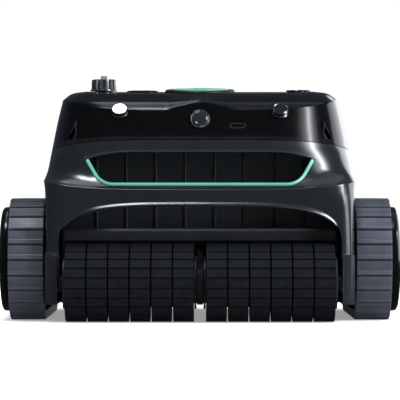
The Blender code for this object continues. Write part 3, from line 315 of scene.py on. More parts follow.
def turned(profile, segments=64, matrix=None, bm=None):
    """A closed profile of (radius, height) points turned about Z and then placed by matrix."""
    bm = bm or bmesh.new()
    matrix = matrix or Matrix()
    rows = []
    for radius, height in profile:
        if radius < 1e-7:
            rows.append([bm.verts.new(matrix @ Vector((0, 0, height)))] * segments)
            continue
        rows.append([bm.verts.new(matrix @ Vector((radius * cos(a), radius * sin(a), height)))
                     for a in [2 * pi * i / segments for i in range(segments)]])
    for lower, upper in zip(rows, rows[1:] + rows[:1]):
        for i in range(segments):
            j = (i + 1) % segments
            corners = list(dict.fromkeys((lower[i], lower[j], upper[j], upper[i])))
            if len(corners) > 2:
                bm.faces.new(corners)
    return bm


def ring(radius, thickness, height, matrix=None, bm=None, segments=64, sides=10):
    """A torus."""
    profile = [(radius + thickness * cos(2 * pi * k / sides), height + thickness * sin(2 * pi * k / sides))
               for k in range(sides)]
    return turned(profile, segments, matrix, bm)


def loft(rings, bm=None):
    """A closed solid through rings of equal length."""
    bm = bm or bmesh.new()
    rows = [[bm.verts.new(point) for point in line] for line in rings]
    for lower, upper in zip(rows, rows[1:]):
        for i in range(len(lower)):
            j = (i + 1) % len(lower)
            bm.faces.new((lower[i], lower[j], upper[j], upper[i]))
    bm.faces.new(rows[0])
    bm.faces.new(rows[-1])
    return bm


def along_x(y, z, x=0.0, side=1):
    """Matrix that lays a shape turned about Z along X, pointing outward on the given side."""
    turn = Matrix(((0, 0, side), (side, 0, 0), (0, 1, 0))).to_4x4()
    return Matrix.Translation((x, y, z)) @ turn


def moved(bm, matrix):
    bmesh.ops.transform(bm, matrix=matrix, verts=bm.verts)
    return bm


def mirrored(bm, side):
    if side < 0:
        bmesh.ops.scale(bm, verts=bm.verts, vec=(-1.0, 1.0, 1.0))
    return bm


def joined(parts):
    """One mesh of several."""
    whole = bmesh.new()
    for part in parts:
        mesh = as_mesh(part, "part")
        whole.from_mesh(mesh)
        bpy.data.meshes.remove(mesh)
    return whole


def screw(matrix, bm=None, radius=0.0028):
    """Pan head with a hexagon socket, its top along the matrix's Z."""
    bm = bm or bmesh.new()
    start = len(bm.verts)
    levels = ((-0.0004, radius), (0.0006, radius), (0.0012, radius * 0.86))
    rows = [[bm.verts.new((a, b, z)) for a, b in oval((0, 0), r, r, 24)] for z, r in levels]
    hole = radius * 0.48
    inner = [[bm.verts.new((a, b, z)) for a, b in oval((0, 0), hole, hole, 6)] for z in (0.0012, 0.0002)]
    bm.faces.new(rows[0])
    for low, high in zip(rows, rows[1:]):
        for i in range(24):
            bm.faces.new((low[i], low[(i + 1) % 24], high[(i + 1) % 24], high[i]))
    flat = rows[-1] + inner[0]
    for tri in tessellate_polygon([[v.co.copy() for v in rows[-1]], [v.co.copy() for v in inner[0]]]):
        bm.faces.new([flat[index] for index in tri])
    for i in range(6):
        bm.faces.new((inner[0][i], inner[0][(i + 1) % 6], inner[1][(i + 1) % 6], inner[1][i]))
    bm.faces.new(inner[1])
    bm.verts.ensure_lookup_table()
    bmesh.ops.transform(bm, matrix=matrix, verts=bm.verts[start:])
    return bm


# ---------------- body skin
def skin_row(v):
    """Values of the skin's rows at a fractional row number, smooth between the breaks."""
    first = max(row for row in SKIN_BREAKS[:-1] if row <= v)
    last = min(row for row in SKIN_BREAKS if row > first)
    i = min(int(v), last - 1)
    t = v - i
    rows = [SKIN_ROWS[k] for k in (max(i - 1, first), i, i + 1, min(i + 2, last))]
    return [
        0.5 * (2 * b + (c - a) * t + (2 * a - 5 * b + 4 * c - d) * t**2 + (3 * b - a - 3 * c + d) * t**3)
        for a, b, c, d in zip(*rows)
    ]


def skin_point(angle, v, inset=0.0):
    """Point of the body's outer skin: angle 90 is the front middle, 0 the right side, -90 the rear."""
    z_front, y_front, z_side, half_width, y_rear, power = skin_row(v)
    c, s = cos(angle), sin(angle)
    reach = (abs(c) ** power + abs(s) ** power) ** (-1 / power)
    x = (half_width - inset) * reach * c
    if s > 0:
        rise = min(abs(reach * c), 1.0) ** SIDE_RISE_POWER
        return Vector((x, (y_front + inset) * reach * s, z_front + (z_side - z_front) * rise))
    return Vector((x, (inset - y_rear) * reach * s, z_side))


def soft_point(angle, v, inset=0.0):
    """The skin's point with the skin's edges rounded."""
    for edge, reach in ROUNDING.items():
        if abs(v - edge) < reach:
            t = (v - edge + reach) / (2 * reach)
            low, middle, high = [skin_point(angle, edge + k * reach, inset) for k in (-1, 0, 1)]
            return low * (1 - t) ** 2 + middle * 2 * t * (1 - t) + high * t**2
    return skin_point(angle, v, inset)


def skin_angle(x, v):
    """Angle of the front skin's point with a given x on row v."""
    low, high = radians(30), radians(90)
    for _ in range(26):
        middle = (low + high) / 2
        if skin_point(middle, v).x > x:
            low = middle
        else:
            high = middle
    return low


def skin_place(x, z, v_low, v_high):
    """Angle and row of the front skin's point with a given x and z."""
    for _ in range(22):
        v = (v_low + v_high) / 2
        if skin_point(skin_angle(x, v), v).z < z:
            v_low = v
        else:
            v_high = v
    return skin_angle(x, v), v


def finer(values, count):
    """A list of numbers with each gap cut into count parts."""
    fine = [a + (b - a) * k / count for a, b in zip(values, values[1:]) for k in range(count)]
    return fine + [values[-1]]


SIDE_DEGREES = (45.6, 44.2, 41, 32, 17, 0, -17, -32, -41, -44, -45, -46, -50, -62, -76, -90)


def side_angles(count=4):
    return [radians(value) for value in finer(SIDE_DEGREES, count)]


def opening_edges(x):
    """Heights of the lower and upper edge of the handle opening at x."""
    line_start = FILLET_CENTER_X + FILLET_RADIUS * sin(DIAGONAL_SLOPE)
    if x < FILLET_CENTER_X:
        lower = OPENING_FLOOR
    elif x < line_start:
        lower = FILLET_CENTER_Z - (FILLET_RADIUS**2 - (x - FILLET_CENTER_X) ** 2) ** 0.5
    else:
        rise = (x - line_start) * tan(DIAGONAL_SLOPE)
        lower = FILLET_CENTER_Z - FILLET_RADIUS * cos(DIAGONAL_SLOPE) + rise
    along = max(0.0, (x - OPENING_TOP_FLAT) / (OPENING_CORNER_X - OPENING_TOP_FLAT))
    return lower, OPENING_TOP - OPENING_CORNER_DROP * along**2


def crease_x(share):
    return 0.146 * sin(pi / 2 * share**0.9)


def between(row, other, share):
    return [(a + (c - a) * share, b + (d - b) * share) for (a, b), (c, d) in zip(row, other)]


def shell_rows():
    """Rows of (angle, v) for the right half of the shell, and which of them border the opening."""
    shares = finer((0.0, CORNER_SHARE), 36) + finer((CORNER_SHARE, 1.0), 18)[1:]
    arch, lower, upper, angles = [], [], [], []
    for t in shares:
        ray = pi / 2 * (1 - t)
        power = ARCH_SQUARENESS
        reach = (abs(cos(ray)) ** power + abs(sin(ray)) ** power) ** (-1 / power)
        arch_x = ARCH_HALF_WIDTH * reach * abs(cos(ray))
        arch_z = SKIN_ROWS[0][0] + ARCH_HEIGHT * reach * abs(sin(ray))
        arch.append(skin_place(arch_x, arch_z, 0.0, CREASE_ROW))
        angles.append(skin_angle(crease_x(t), CREASE_ROW))
        if t <= CORNER_SHARE + 1e-9:
            hole_x = crease_x(t) * OPENING_CORNER_X / crease_x(CORNER_SHARE)
            floor, top = opening_edges(hole_x)
            lower.append(skin_place(hole_x, floor, CREASE_ROW, SEAM_ROW))
            upper.append(skin_place(hole_x, top, CREASE_ROW, SEAM_ROW))
        else:
            along = (t - CORNER_SHARE) / (1 - CORNER_SHARE)
            lower.append((angles[-1], lower[-1][1] + (SIDE_LOWER_ROW - lower[-1][1]) * along))
            upper.append((angles[-1], upper[-1][1] + (SIDE_UPPER_ROW - upper[-1][1]) * along))
    for angle in side_angles():
        arch.append((angle, 0.0))
        angles.append(angle)
        lower.append((angle, SIDE_LOWER_ROW))
        upper.append((angle, SIDE_UPPER_ROW))
    low_crease, high_crease = CREASE_ROW - ROUNDING[CREASE_ROW], CREASE_ROW + ROUNDING[CREASE_ROW]
    low = [(angle, low_crease) for angle in angles]
    high = [(angle, high_crease) for angle in angles]
    seam = [(angle, 6.985) for angle in angles]
    steps = (0, 0.02, 0.04, 0.06, 0.08, 0.1, 0.12, 0.15, 0.18, 0.25, 0.33, 0.42, 0.52, 0.64, 0.76, 0.88, 1)
    rows = [between(arch, low, share) for share in steps]
    for k in range(1, 8):
        rows.append([(angle, low_crease + (high_crease - low_crease) * k / 8) for angle in angles])
    rows += [between(high, lower, share) for share in (0, 0.2, 0.4, 0.6, 0.8, 1)]
    first = len(rows) - 1
    rows += [between(lower, upper, share) for share in (0.15, 0.3, 0.5, 0.7, 0.85, 1)]
    last = len(rows) - 1
    rows += [between(upper, seam, share) for share in (0.15, 0.35, 0.6, 0.85, 1)]
    return rows, first, last


def flared(line, rim):
    """A row of points pushed forward where it comes near the arch, so that the arch has a raised lip."""
    moved_line = []
    for p, q in zip(line, rim):
        near = max(0.0, 1 - (p - q).length / LIP_REACH) if q.y < -0.17 else 0.0
        height = LIP_HEIGHT * min(1.0, max(0.0, (q.z - LIP_START) / 0.018))
        moved_line.append(p + Vector((0.0, -height * near**2 * (3 - 2 * near), 0.0)))
    return moved_line


def skin_mesh(rows, hole=None, point=soft_point, lip=False):
    """Open surface through rows of (angle, v) for the right half, closed round by its mirror image."""
    bm = bmesh.new()
    grid = []
    rim = [point(angle, v) for angle, v in rows[0]]
    for row in rows:
        right = [point(angle, v) for angle, v in row]
        if lip:
            right = flared(right, rim)
        left = [Vector((-p.x, p.y, p.z)) for p in right[-2:0:-1]]
        grid.append([bm.verts.new(p) for p in right + left])
    columns = len(grid[0])
    for i in range(len(grid) - 1):
        for j in range(columns):
            column = min(j, columns - 1 - j)
            if hole and hole[0] <= i < hole[1] and column < hole[2]:
                continue
            k = (j + 1) % columns
            bm.faces.new((grid[i][j], grid[i][k], grid[i + 1][k], grid[i + 1][j]))
    bmesh.ops.delete(bm, geom=[v for v in bm.verts if not v.link_faces], context="VERTS")
    return bm


def skin_piece(name, bm, mat, wall, node, bevel, cutters=()):
    """A piece of the body's skin: its wall lies inside the outer surface, and its rims are rounded."""
    obj = piece(name, bm, mat, stands_for=[node], angle=60)
    front = min(obj.data.polygons, key=lambda face: face.center.y)
    if front.normal.y > 0:
        obj.data.flip_normals()
    solid = obj.modifiers.new("wall", "SOLIDIFY")
    solid.thickness = wall
    solid.offset = -1.0
    solid.use_even_offset = True
    for cutter in cutters:
        cut(obj, cutter)
    round_edges(obj, bevel, 3, 55)
    return obj


def cut(obj, cutter):
    """Takes a shape away from a piece for good."""
    bmesh.ops.recalc_face_normals(cutter, faces=cutter.faces)
    mesh = as_mesh(cutter, "cutter")
    tool = placed("cutter", mesh)
    away = obj.modifiers.new("cut", "BOOLEAN")
    away.operation = "DIFFERENCE"
    away.solver = "EXACT"
    away.object = tool
    whole = bpy.data.meshes.new_from_object(obj.evaluated_get(bpy.context.evaluated_depsgraph_get()))
    obj.modifiers.clear()
    obj.data = whole
    whole.set_sharp_from_angle(angle=radians(40))
    bpy.data.objects.remove(tool)
    bpy.data.meshes.remove(mesh)


def notch_depths(side):
    """Front and back (y) of a corner notch: the skin's own depth at its inner and its outer edge."""
    (inner, low), _, (outer, _) = NOTCH
    depths = [skin_point(*skin_place(x, low, SEAM_ROW, TOP_EDGE_ROW)).y for x in (inner, outer)]
    return [(side * x, z) for x, z in NOTCH], *depths


def build_notches():
    """Floor and two walls of each corner notch."""
    for name, side in SIDES:
        outline, near, deep = notch_depths(side)
        (inner, low), (_, high), (outer, _) = outline
        back = deep + 0.0012
        wall = [(near + 0.0012, low - 0.0006), (back, low - 0.0006), (back, high + 0.0004),
                (near + 0.003, high + 0.0004)]
        shelf = [(inner, near + 0.0014), (inner, back), (outer, back), (outer, deep + 0.0004)]
        parts = [prism([outline], deep, back, "Y"),
                 prism([wall], *sorted((inner, inner - side * 0.0008)), "X"),
                 prism([shelf], low - 0.0008, low, "Z")]
        piece(f"{name}_notch", joined(parts), "satin")


def brow_point(angle, v):
    """The cover's point, with the low brow over the camera raised out of the face's top edge."""
    p = soft_point(angle, v)
    if p.y > 0 or abs(p.x) > 0.034 or not 8.2 < v < 11:
        return p
    x = abs(p.x)
    bell = 0.004 * min(1.0, max(0.0, (0.0345 - x) / 0.01)) + 0.0044 * cos(min(x / 0.026, 1.0) * pi / 2) ** 2
    weight = min(1.0, (v - 8.2) / 0.8) if v < 9 else (11 - v) / 2
    weight = weight * weight * (3 - 2 * weight)
    return p + Vector((0.0, 0.42, 1.0)) * bell * weight


def build_body():
    rows, first, last = shell_rows()
    skin_piece("shell", skin_mesh(rows, (first, last, 36), lip=True), "satin", 0.0035, "upper_shell",
               0.0009)
    degrees = finer((90, 82, 74, 66, 59, 54, 50.5, 48, 46.5, 45.6), 6)[:-1]
    angles = [radians(value) for value in degrees] + side_angles()
    levels = finer((7.03, 8, 8.9), 7) + finer((8.9, 9.1), 8)[1:] + finer((9.1, 10, 11, 12), 7)[1:]
    cover = skin_mesh([[(angle, v) for angle in angles] for v in levels], point=brow_point)
    cutters = []
    for _, side in SIDES:
        outline, _, deep = notch_depths(side)
        cutters.append(prism([outline], -0.25, deep, "Y"))
    skin_piece("cover", cover, "gloss", 0.003, "top_cover", 0.0005, cutters)
    build_notches()


# ---------------- handle trim
def trim_path():
    """Right half of the trim's top edge, from the middle to the corner of the handle opening."""
    clear = 0.0036
    radius = FILLET_RADIUS - clear
    points = [(x, OPENING_FLOOR + clear) for x in finer((0.0, FILLET_CENTER_X), 10)]
    for k in range(1, 15):
        turn = DIAGONAL_SLOPE * k / 14
        points.append((FILLET_CENTER_X + radius * sin(turn), FILLET_CENTER_Z - radius * cos(turn)))
    x, z = points[-1]
    for length in (0.005, 0.01, 0.0155, 0.0168, 0.0174):
        points.append((x + length * cos(DIAGONAL_SLOPE), z + length * sin(DIAGONAL_SLOPE)))
    return points


def build_trim():
    path = trim_path()
    path = [(-x, z) for x, z in path[:0:-1]] + path
    section = rounded([(-0.0002, 0.0), (0.0031, 0.0), (0.0031, 0.006), (-0.0002, 0.006)], 0.0008, 4)
    rings = []
    for i, (x, z) in enumerate(path):
        x0, z0 = path[max(i - 1, 0)]
        x1, z1 = path[min(i + 1, len(path) - 1)]
        length = hypot(x1 - x0, z1 - z0)
        down = Vector(((z1 - z0) / length, 0.0, -(x1 - x0) / length))
        angle, v = skin_place(abs(x), z, CREASE_ROW, SEAM_ROW)
        top = Vector((x, skin_point(angle, v).y - 0.0006, z))
        taper = min(i, len(path) - 1 - i)
        size = (0.35, 0.8, 1.0)[min(taper, 2)]
        middle = Vector((0.0014, 0.003))
        rings.append([top + down * (middle.x + (a - middle.x) * size)
                      + Vector((0.0, middle.y + (b - middle.y) * size, 0.0)) for a, b in section])
    piece("handle_strip", loft(rings), "teal", stands_for=["handle_trim"], angle=60)


# ---------------- tracks
def stadium(radius, pieces):
    points = []
    for center, start in ((FRONT_WHEEL_Y, pi / 2), (REAR_WHEEL_Y, -pi / 2)):
        for k in range(pieces + 1):
            a = start + pi * k / pieces
            points.append((center + radius * cos(a), WHEEL_Z + radius * sin(a)))
    return points


def track_point(step, height):
    """Point of the track's path after a number of lug pitches, from the top of the front wheel."""
    radius = TRACK_RADIUS - LUG_HEIGHT + height
    run = REAR_WHEEL_Y - FRONT_WHEEL_Y
    if step < LUGS_PER_ARC:
        a = pi / 2 + pi * step / LUGS_PER_ARC
        return (FRONT_WHEEL_Y + radius * cos(a), WHEEL_Z + radius * sin(a))
    step -= LUGS_PER_ARC
    if step < LUGS_PER_RUN:
        return (FRONT_WHEEL_Y + run * step / LUGS_PER_RUN, WHEEL_Z - radius)
    step -= LUGS_PER_RUN
    if step < LUGS_PER_ARC:
        a = -pi / 2 + pi * step / LUGS_PER_ARC
        return (REAR_WHEEL_Y + radius * cos(a), WHEEL_Z + radius * sin(a))
    step -= LUGS_PER_ARC
    return (REAR_WHEEL_Y - run * step / LUGS_PER_RUN, WHEEL_Z + radius)


def build_tracks():
    lug = ((0.035, 0.0), (0.045, 0.0011), (0.06, 0.0022), (0.09, 0.0027), (0.64, 0.0027), (0.69, 0.0033),
           (0.72, 0.0035), (0.9, 0.0035), (0.935, 0.0032), (0.965, 0.0011), (0.975, 0.0))
    pitches = 2 * (LUGS_PER_ARC + LUGS_PER_RUN)
    inner = stadium(BELT_INNER_RADIUS, 40)
    low, high = TRACK_X
    for name, side in SIDES:
        levels = []
        for x, height in ((low, 0.8), (low + 0.0006, 0.97), (low + 0.001, 1.0), (high - 0.001, 1.0),
                          (high - 0.0006, 0.97), (high, 0.8)):
            outline = [track_point(i + share, min(LUG_HEIGHT, h) * height) for i in range(pitches)
                       for share, h in lug]
            levels.append((x, [outline, inner]))
        piece(f"{name}_track", mirrored(stack(levels, "X"), side), "rubber",
              stands_for=[f"{name}_track_belt"], angle=24)
        rows = ((0.197, 0.04), (0.197, 0.0538), (0.1974, 0.054), (0.201, 0.054), (0.203, 0.0535),
                (0.2042, 0.0522), (0.2052, 0.05), (0.2059, 0.046), (0.2064, 0.042), (0.2066, 0.04),
                (0.2058, 0.0392), (0.2058, 0.038), (0.2067, 0.0372), (0.2071, 0.033), (0.2074, 0.029),
                (0.2075, 0.0276), (0.2074, 0.0268), (0.2064, 0.0262), (0.2062, 0.018))
        shape = stack([(x, [stadium(radius, 40)]) for x, radius in rows], "X")
        piece(f"{name}_track_cover", mirrored(shape, side), "gloss", stands_for=[f"{name}_side_cover"],
              angle=28)


# ---------------- brushes
def build_brushes():
    pitch = 2 * pi / FIN_COUNT
    length = (BRUSH_X[1] - BRUSH_X[0]) / SEGMENTS
    spans = [(BRUSH_X[0] + s * length + (SEGMENT_GAP if s else 0.0),
              BRUSH_X[0] + (s + 1) * length - (SEGMENT_GAP if s < SEGMENTS - 1 else 0.0))
             for s in range(SEGMENTS)]
    for name, side in SIDES:
        bm = turned([(0.0204, BRUSH_X[0]), (DRUM_RADIUS + 0.0004, BRUSH_X[0]),
                     (DRUM_RADIUS + 0.0004, BRUSH_X[1]), (0.0204, BRUSH_X[1])], 96,
                    along_x(BRUSH_Y, BRUSH_Z))
        for low, high in spans:
            turned([(DRUM_RADIUS, low), (SEGMENT_RADIUS, low), (SEGMENT_RADIUS, high), (DRUM_RADIUS, high)],
                   96, along_x(BRUSH_Y, BRUSH_Z), bm)
        for i in range(FIN_COUNT):
            a = -pi / 2 + pitch * i
            for low, high in spans:
                rows = []
                for radius, share, taper in ((0.038, 0.9, 0.0), (0.0395, 0.86, 0.0001),
                                             (BRUSH_RADIUS, 0.76, 0.0004)):
                    turns = [a + turn * pitch * share / 2 for turn in (-1, 1, 1, -1)]
                    ends = (low + taper, low + taper, high - taper, high - taper)
                    rows.append([(x, BRUSH_Y + radius * cos(t), BRUSH_Z + radius * sin(t))
                                 for t, x in zip(turns, ends)])
                loft(rows, bm)
        piece(f"{name}_fins", mirrored(bm, side), "fin", f"{name}_brush", [f"{name}_brush_fins"],
              angle=40)
        profile = [(0.0, 0.0005), (0.005, 0.0005), (0.005, 0.0035), (0.0262, 0.0035), (0.027, 0.0039),
                   (0.027, 0.0054), (0.0266, 0.0058), (0.02, 0.0058), (0.02, 0.1373), (0.0266, 0.1373),
                   (0.027, 0.1377), (0.027, 0.1392), (0.0262, 0.1396), (0.018, 0.1396), (0.0172, 0.139),
                   (0.012, 0.139), (0.0112, 0.1398), (0.005, 0.1398), (0.005, 0.1465), (0.003, 0.1465),
                   (0.003, 0.157), (0.0, 0.157)]
        core = turned(profile, 96, along_x(BRUSH_Y, BRUSH_Z))
        piece(f"{name}_roller", mirrored(core, side), "matte", f"{name}_brush", [f"{name}_brush_core"],
              angle=40)


# ---------------- front face
def lens_matrix():
    return Matrix.Translation(LENS_PLACE) @ Matrix.Rotation(pi / 2 - FACE_TILT, 4, "X")


def eye_matrix(side):
    x, y, z = EYE_PLACE
    turn = Matrix.Rotation(side * radians(2), 4, "Y") @ Matrix.Rotation(radians(45), 4, "X")
    return Matrix.Translation((side * x, y, z)) @ turn


def build_face():
    place = lens_matrix()
    barrel = [(0.0, -0.015), (0.008, -0.015), (0.008, 0.0), (0.0098, 0.0), (0.0101, 0.0004),
              (0.0101, 0.0022), (0.0098, 0.0029), (0.0092, 0.0031), (0.0087, 0.0028), (0.0085, 0.002),
              (0.0, 0.002)]
    piece("lens_barrel", turned(barrel, 96, place), "lens", stands_for=["camera_lens"], angle=50)
    dome = [(0.0, 0.0012), (0.0086, 0.0012)]
    dome += [(0.0086 * cos(t), 0.0021 + 0.0009 * sin(t)) for t in [pi / 2 * k / 10 for k in range(10)]]
    dome.append((0.0, 0.003))
    piece("lens_window", turned(dome, 96, place), "satin", angle=60)
    # Painted highlights: two small pale inlays on the lens glass stand in for glints of light; the lens has
    # no such parts.
    painted_glints = []
    for angle, reach, size in ((-128, 0.0058, 0.0013), (2, 0.0068, 0.0014)):
        spot = Matrix.Translation((reach * cos(radians(angle)), reach * sin(radians(angle)), 0.0026))
        spot = place @ spot @ Matrix.Rotation(radians(angle), 4, "Z")
        painted_glint = prism([rectangle(-0.0004, 0.0004, -size, size, 0.00035, 3)], -0.0002, 0.0004)
        painted_glints.append(moved(painted_glint, spot))
    piece("painted_lens_highlights", joined(painted_glints), "painted_glint")
    for name, side in SIDES:
        matrix = eye_matrix(side)
        body = [(0.0, -0.02), (0.0079, -0.02), (0.0079, -0.0012), (0.0076, -0.0006), (0.0074, -0.0006),
                (0.0074, -0.001), (0.0, -0.001)]
        piece(f"{name}_sensor_body", turned(body, 64, matrix), "gloss", stands_for=[f"{name}_sensor"],
              angle=30)
        glass = [(0.0, -0.0012), (0.0075, -0.0012), (0.0075, -0.0006), (0.0071, -0.0001), (0.0, -0.0001)]
        # Painted reflection: only the left sensor's glass gets the pale mirror finish, so that it shows
        # bright; the right sensor is the same part and stays black gloss.
        look = "eye" if side < 0 else "gloss"
        piece(f"{name}_sensor_glass", turned(glass, 64, matrix), look, angle=15)
        rim = ring(0.0074, 0.0002, -0.0004, matrix, segments=72, sides=8)
        ring(0.0079, 0.00025, -0.0048, matrix, rim, segments=72, sides=8)
        piece(f"{name}_sensor_rim", rim, "eye")
    face = Matrix.Translation(SLOT_PLACE) @ Matrix.Rotation(pi / 2 - FACE_TILT, 4, "X")
    outer = rectangle(-0.0078, 0.0078, -0.0029, 0.0029, 0.0026)
    inner = rectangle(-0.007, 0.007, -0.0021, 0.0021, 0.0019)
    frame_bm = stack([(-0.006, [outer, inner]), (0.0005, [outer, inner])])
    piece("status_frame", moved(frame_bm, face), "lens", stands_for=["status_window"],
          bevel=0.0002)
    piece("status_glass", moved(prism([inner], -0.006, 0.0001), face), "lens")


# ---------------- roof
def roof_matrix():
    """Frame of the outlet, on the deck's sloping front part."""
    slope = (DECK_TOP - DECK_FRONT_TOP) / (DECK_BEND_Y - DECK_FRONT_Y)
    height = DECK_FRONT_TOP + (OUTLET_Y - DECK_FRONT_Y) * slope
    return Matrix.Translation((0.0, OUTLET_Y, height)) @ Matrix.Rotation(atan2(slope, 1.0), 4, "X")


def build_knob():
    x, y = KNOB
    base = turned([(0.0, 0.2392), (0.0138, 0.2392), (0.0141, 0.2395), (0.0141, 0.2404), (0.0137, 0.241),
                   (0.011, 0.2413), (0.0, 0.2413)], 72, Matrix.Translation((x, y, 0.0)))
    flutes = []
    for i in range(KNOB_FLUTES):
        for share, depth in ((0.0, 0.0), (0.14, 0.0), (0.22, 0.4), (0.32, 0.9), (0.5, 1.0), (0.68, 0.9),
                             (0.78, 0.4), (0.86, 0.0)):
            flutes.append((2 * pi * (i + share) / KNOB_FLUTES, depth))
    levels = []
    for z, radius, groove in ((0.2413, 0.013, 0.0016), (0.25, 0.0128, 0.0016), (0.2508, 0.0125, 0.0014),
                              (0.2514, 0.0119, 0.0009), (0.2517, 0.011, 0.0003), (0.2517, 0.009, 0.0),
                              (0.251, 0.0085, 0.0), (0.251, 0.005, 0.0), (0.252, 0.0046, 0.0)):
        levels.append((z, [[(x + (radius - groove * depth) * cos(a), y + (radius - groove * depth) * sin(a))
                            for a, depth in flutes]]))
    stack(levels, bm=base)
    piece("knob", base, "knob", "charge_cap", ["charge_cap"], angle=34)
    loops = bmesh.new()
    for side in (-1, 1):
        upright = Matrix.Translation((x + side * 0.0017, y, 0.2538)) @ Matrix.Rotation(pi / 2, 4, "X")
        ring(0.0012, 0.00055, 0.0, upright, loops, 28, 8)
    piece("knob_loops", loops, "gloss", "charge_cap")


def build_roof():
    build_knob()
    levels = [(z, [oval(BUTTON, a, b)]) for z, a, b in (
        (0.2345, 0.0143, 0.0078), (0.2392, 0.0143, 0.0078), (0.2397, 0.014, 0.0075),
        (0.24, 0.0132, 0.0067), (0.2401, 0.0115, 0.0052), (0.2398, 0.009, 0.0034))]
    piece("button", stack(levels), "satin", "power_button", ["power_button"], angle=30)
    bezel = [(z, [oval(BUTTON, a, a - 0.0065) for a in reaches]) for z, reaches in (
        (0.2387, (0.0166, 0.015)), (0.2393, (0.0166, 0.015)), (0.2396, (0.0161, 0.0153)))]
    piece("button_bezel", stack(bezel), "gloss", angle=30)
    cap = [(0.0, 0.225), (0.0118, 0.225), (0.0118, 0.2389), (0.0129, 0.2389), (0.013, 0.2392),
           (0.013, 0.2397), (0.0126, 0.2402), (0.0112, 0.2404), (0.0104, 0.2404), (0.01, 0.24),
           (0.006, 0.24), (0.0056, 0.2403), (0.0, 0.2404)]
    piece("depth_sensor_cap", turned(cap, 72, Matrix.Translation((*SENSOR_CAP, 0.0))), "satin",
          stands_for=["pressure_sensor"], angle=34)

    place = roof_matrix()
    collar = [(0.0305, -0.004), (0.0328, -0.004), (0.0328, 0.0004), (0.0366, 0.0004), (0.0369, 0.0008),
              (0.0368, 0.0017), (0.036, 0.0026), (0.0348, 0.0031), (0.0336, 0.0031), (0.0332, 0.0026),
              (0.0322, 0.0026), (0.0318, 0.0031), (0.0309, 0.0031), (0.0305, 0.0027)]
    piece("outlet_collar", turned(collar, 96, place), "matte", stands_for=["outlet_ring"],
          angle=34)
    disc = turned([(0.0298, 0.001), (0.0302, 0.0014), (0.0302, 0.0031), (0.0298, 0.0036), (0.0286, 0.0038),
                   (0.0272, 0.0036), (0.0268, 0.003), (0.0268, 0.0014), (0.0272, 0.001)], 96)
    turned([(0.0, 0.001), (0.0098, 0.001), (0.0102, 0.0014), (0.0102, 0.003), (0.0096, 0.0036),
            (0.007, 0.004), (0.0, 0.0044)], 64, None, disc)
    for i in range(OUTLET_VANES):
        line = []
        for k in range(9):
            share = k / 8
            radius = 0.0096 + (0.0272 - 0.0096) * share
            a = 2 * pi * i / OUTLET_VANES + 0.55 * share
            line.append((radius * cos(a), radius * sin(a), a))
        for half in (-1, 1):
            rings = [[(px - half * 0.0006 * sin(a), py + half * 0.0006 * cos(a), z)
                      for z in (0.0012, 0.0036)] + [(px, py, z) for z in (0.0038, 0.0012)]
                     for px, py, a in line]
            loft(rings, disc)
    piece("outlet_vanes", moved(disc, place), "teal", stands_for=["outlet_grille"], angle=40)

    seal = rectangle(-0.1004, 0.1004, -0.0224, 0.1324, 0.01)
    inner = rectangle(-0.0988, 0.0988, -0.0208, 0.1308, 0.0088)
    piece("lid_seal", stack([(0.2386, [seal, inner]), (0.2394, [seal, inner])]), "fin",
          bevel=0.0003)
    lid = bmesh.new()
    frames = [rectangle(-0.09, 0.09, 0.003, 0.122, 0.007),
              rectangle(-0.0885, 0.0885, 0.0045, 0.1205, 0.006)]
    prism(frames, 0.2389, 0.2399, bm=lid)
    for i in range(11):
        x = 0.013 * (i - 5)
        prism([rectangle(x - 0.0009, x + 0.0009, 0.018, 0.108, 0.0008, 4)], 0.2389, 0.2399, bm=lid)
    piece("lid_ribs", lid, "gloss", "filter_lid", bevel=0.0003)
    grip = bmesh.new()
    for i in range(4):
        y = -0.0136 + 0.0028 * i
        prism([rectangle(-0.01, 0.01, y - 0.0006, y + 0.0006, 0.0005, 3)], 0.2389, 0.2398, bm=grip)
    piece("latch_ridges", grip, "satin", "lid_latch", bevel=0.0002)
    hinge = bmesh.new()
    for x in (-0.066, 0.066):
        for shift in (-0.0085, 0.0085):
            turned([(0.0, shift - 0.003), (0.0019, shift - 0.003), (0.0022, shift - 0.0027),
                    (0.0022, shift + 0.0027), (0.0019, shift + 0.003), (0.0, shift + 0.003)], 28,
                   along_x(0.135, 0.24, x), hinge)
    piece("hinge_barrels", hinge, "matte", angle=40)
    heads = bmesh.new()
    for x, y in ((-0.108, 0.02), (-0.108, 0.11), (0.108, 0.02), (0.108, 0.11), (-0.03, 0.1405),
                 (0.03, 0.1405)):
        screw(Matrix.Translation((x, y, 0.2388)), heads, 0.0024)
    piece("deck_screws", heads, "steel")


# ---------------- sides, rear and underside
def build_sides():
    for name, side in SIDES:
        bars = []
        for radius, inner in ((0.0215, 0.0198), (0.0105, 0.009)):
            bars.append(prism([stadium(radius, 32), stadium(inner, 32)], 0.206, 0.2071, "X"))
        piece(f"{name}_cover_rings", mirrored(joined(bars), side), "satin", bevel=0.0003)
        heads = bmesh.new()
        for y in (FRONT_WHEEL_Y, -0.0333, 0.0433, REAR_WHEEL_Y):
            screw(along_x(y, WHEEL_Z, 0.2062), heads, 0.0034)
        piece(f"{name}_cover_screws", mirrored(heads, side), "steel")


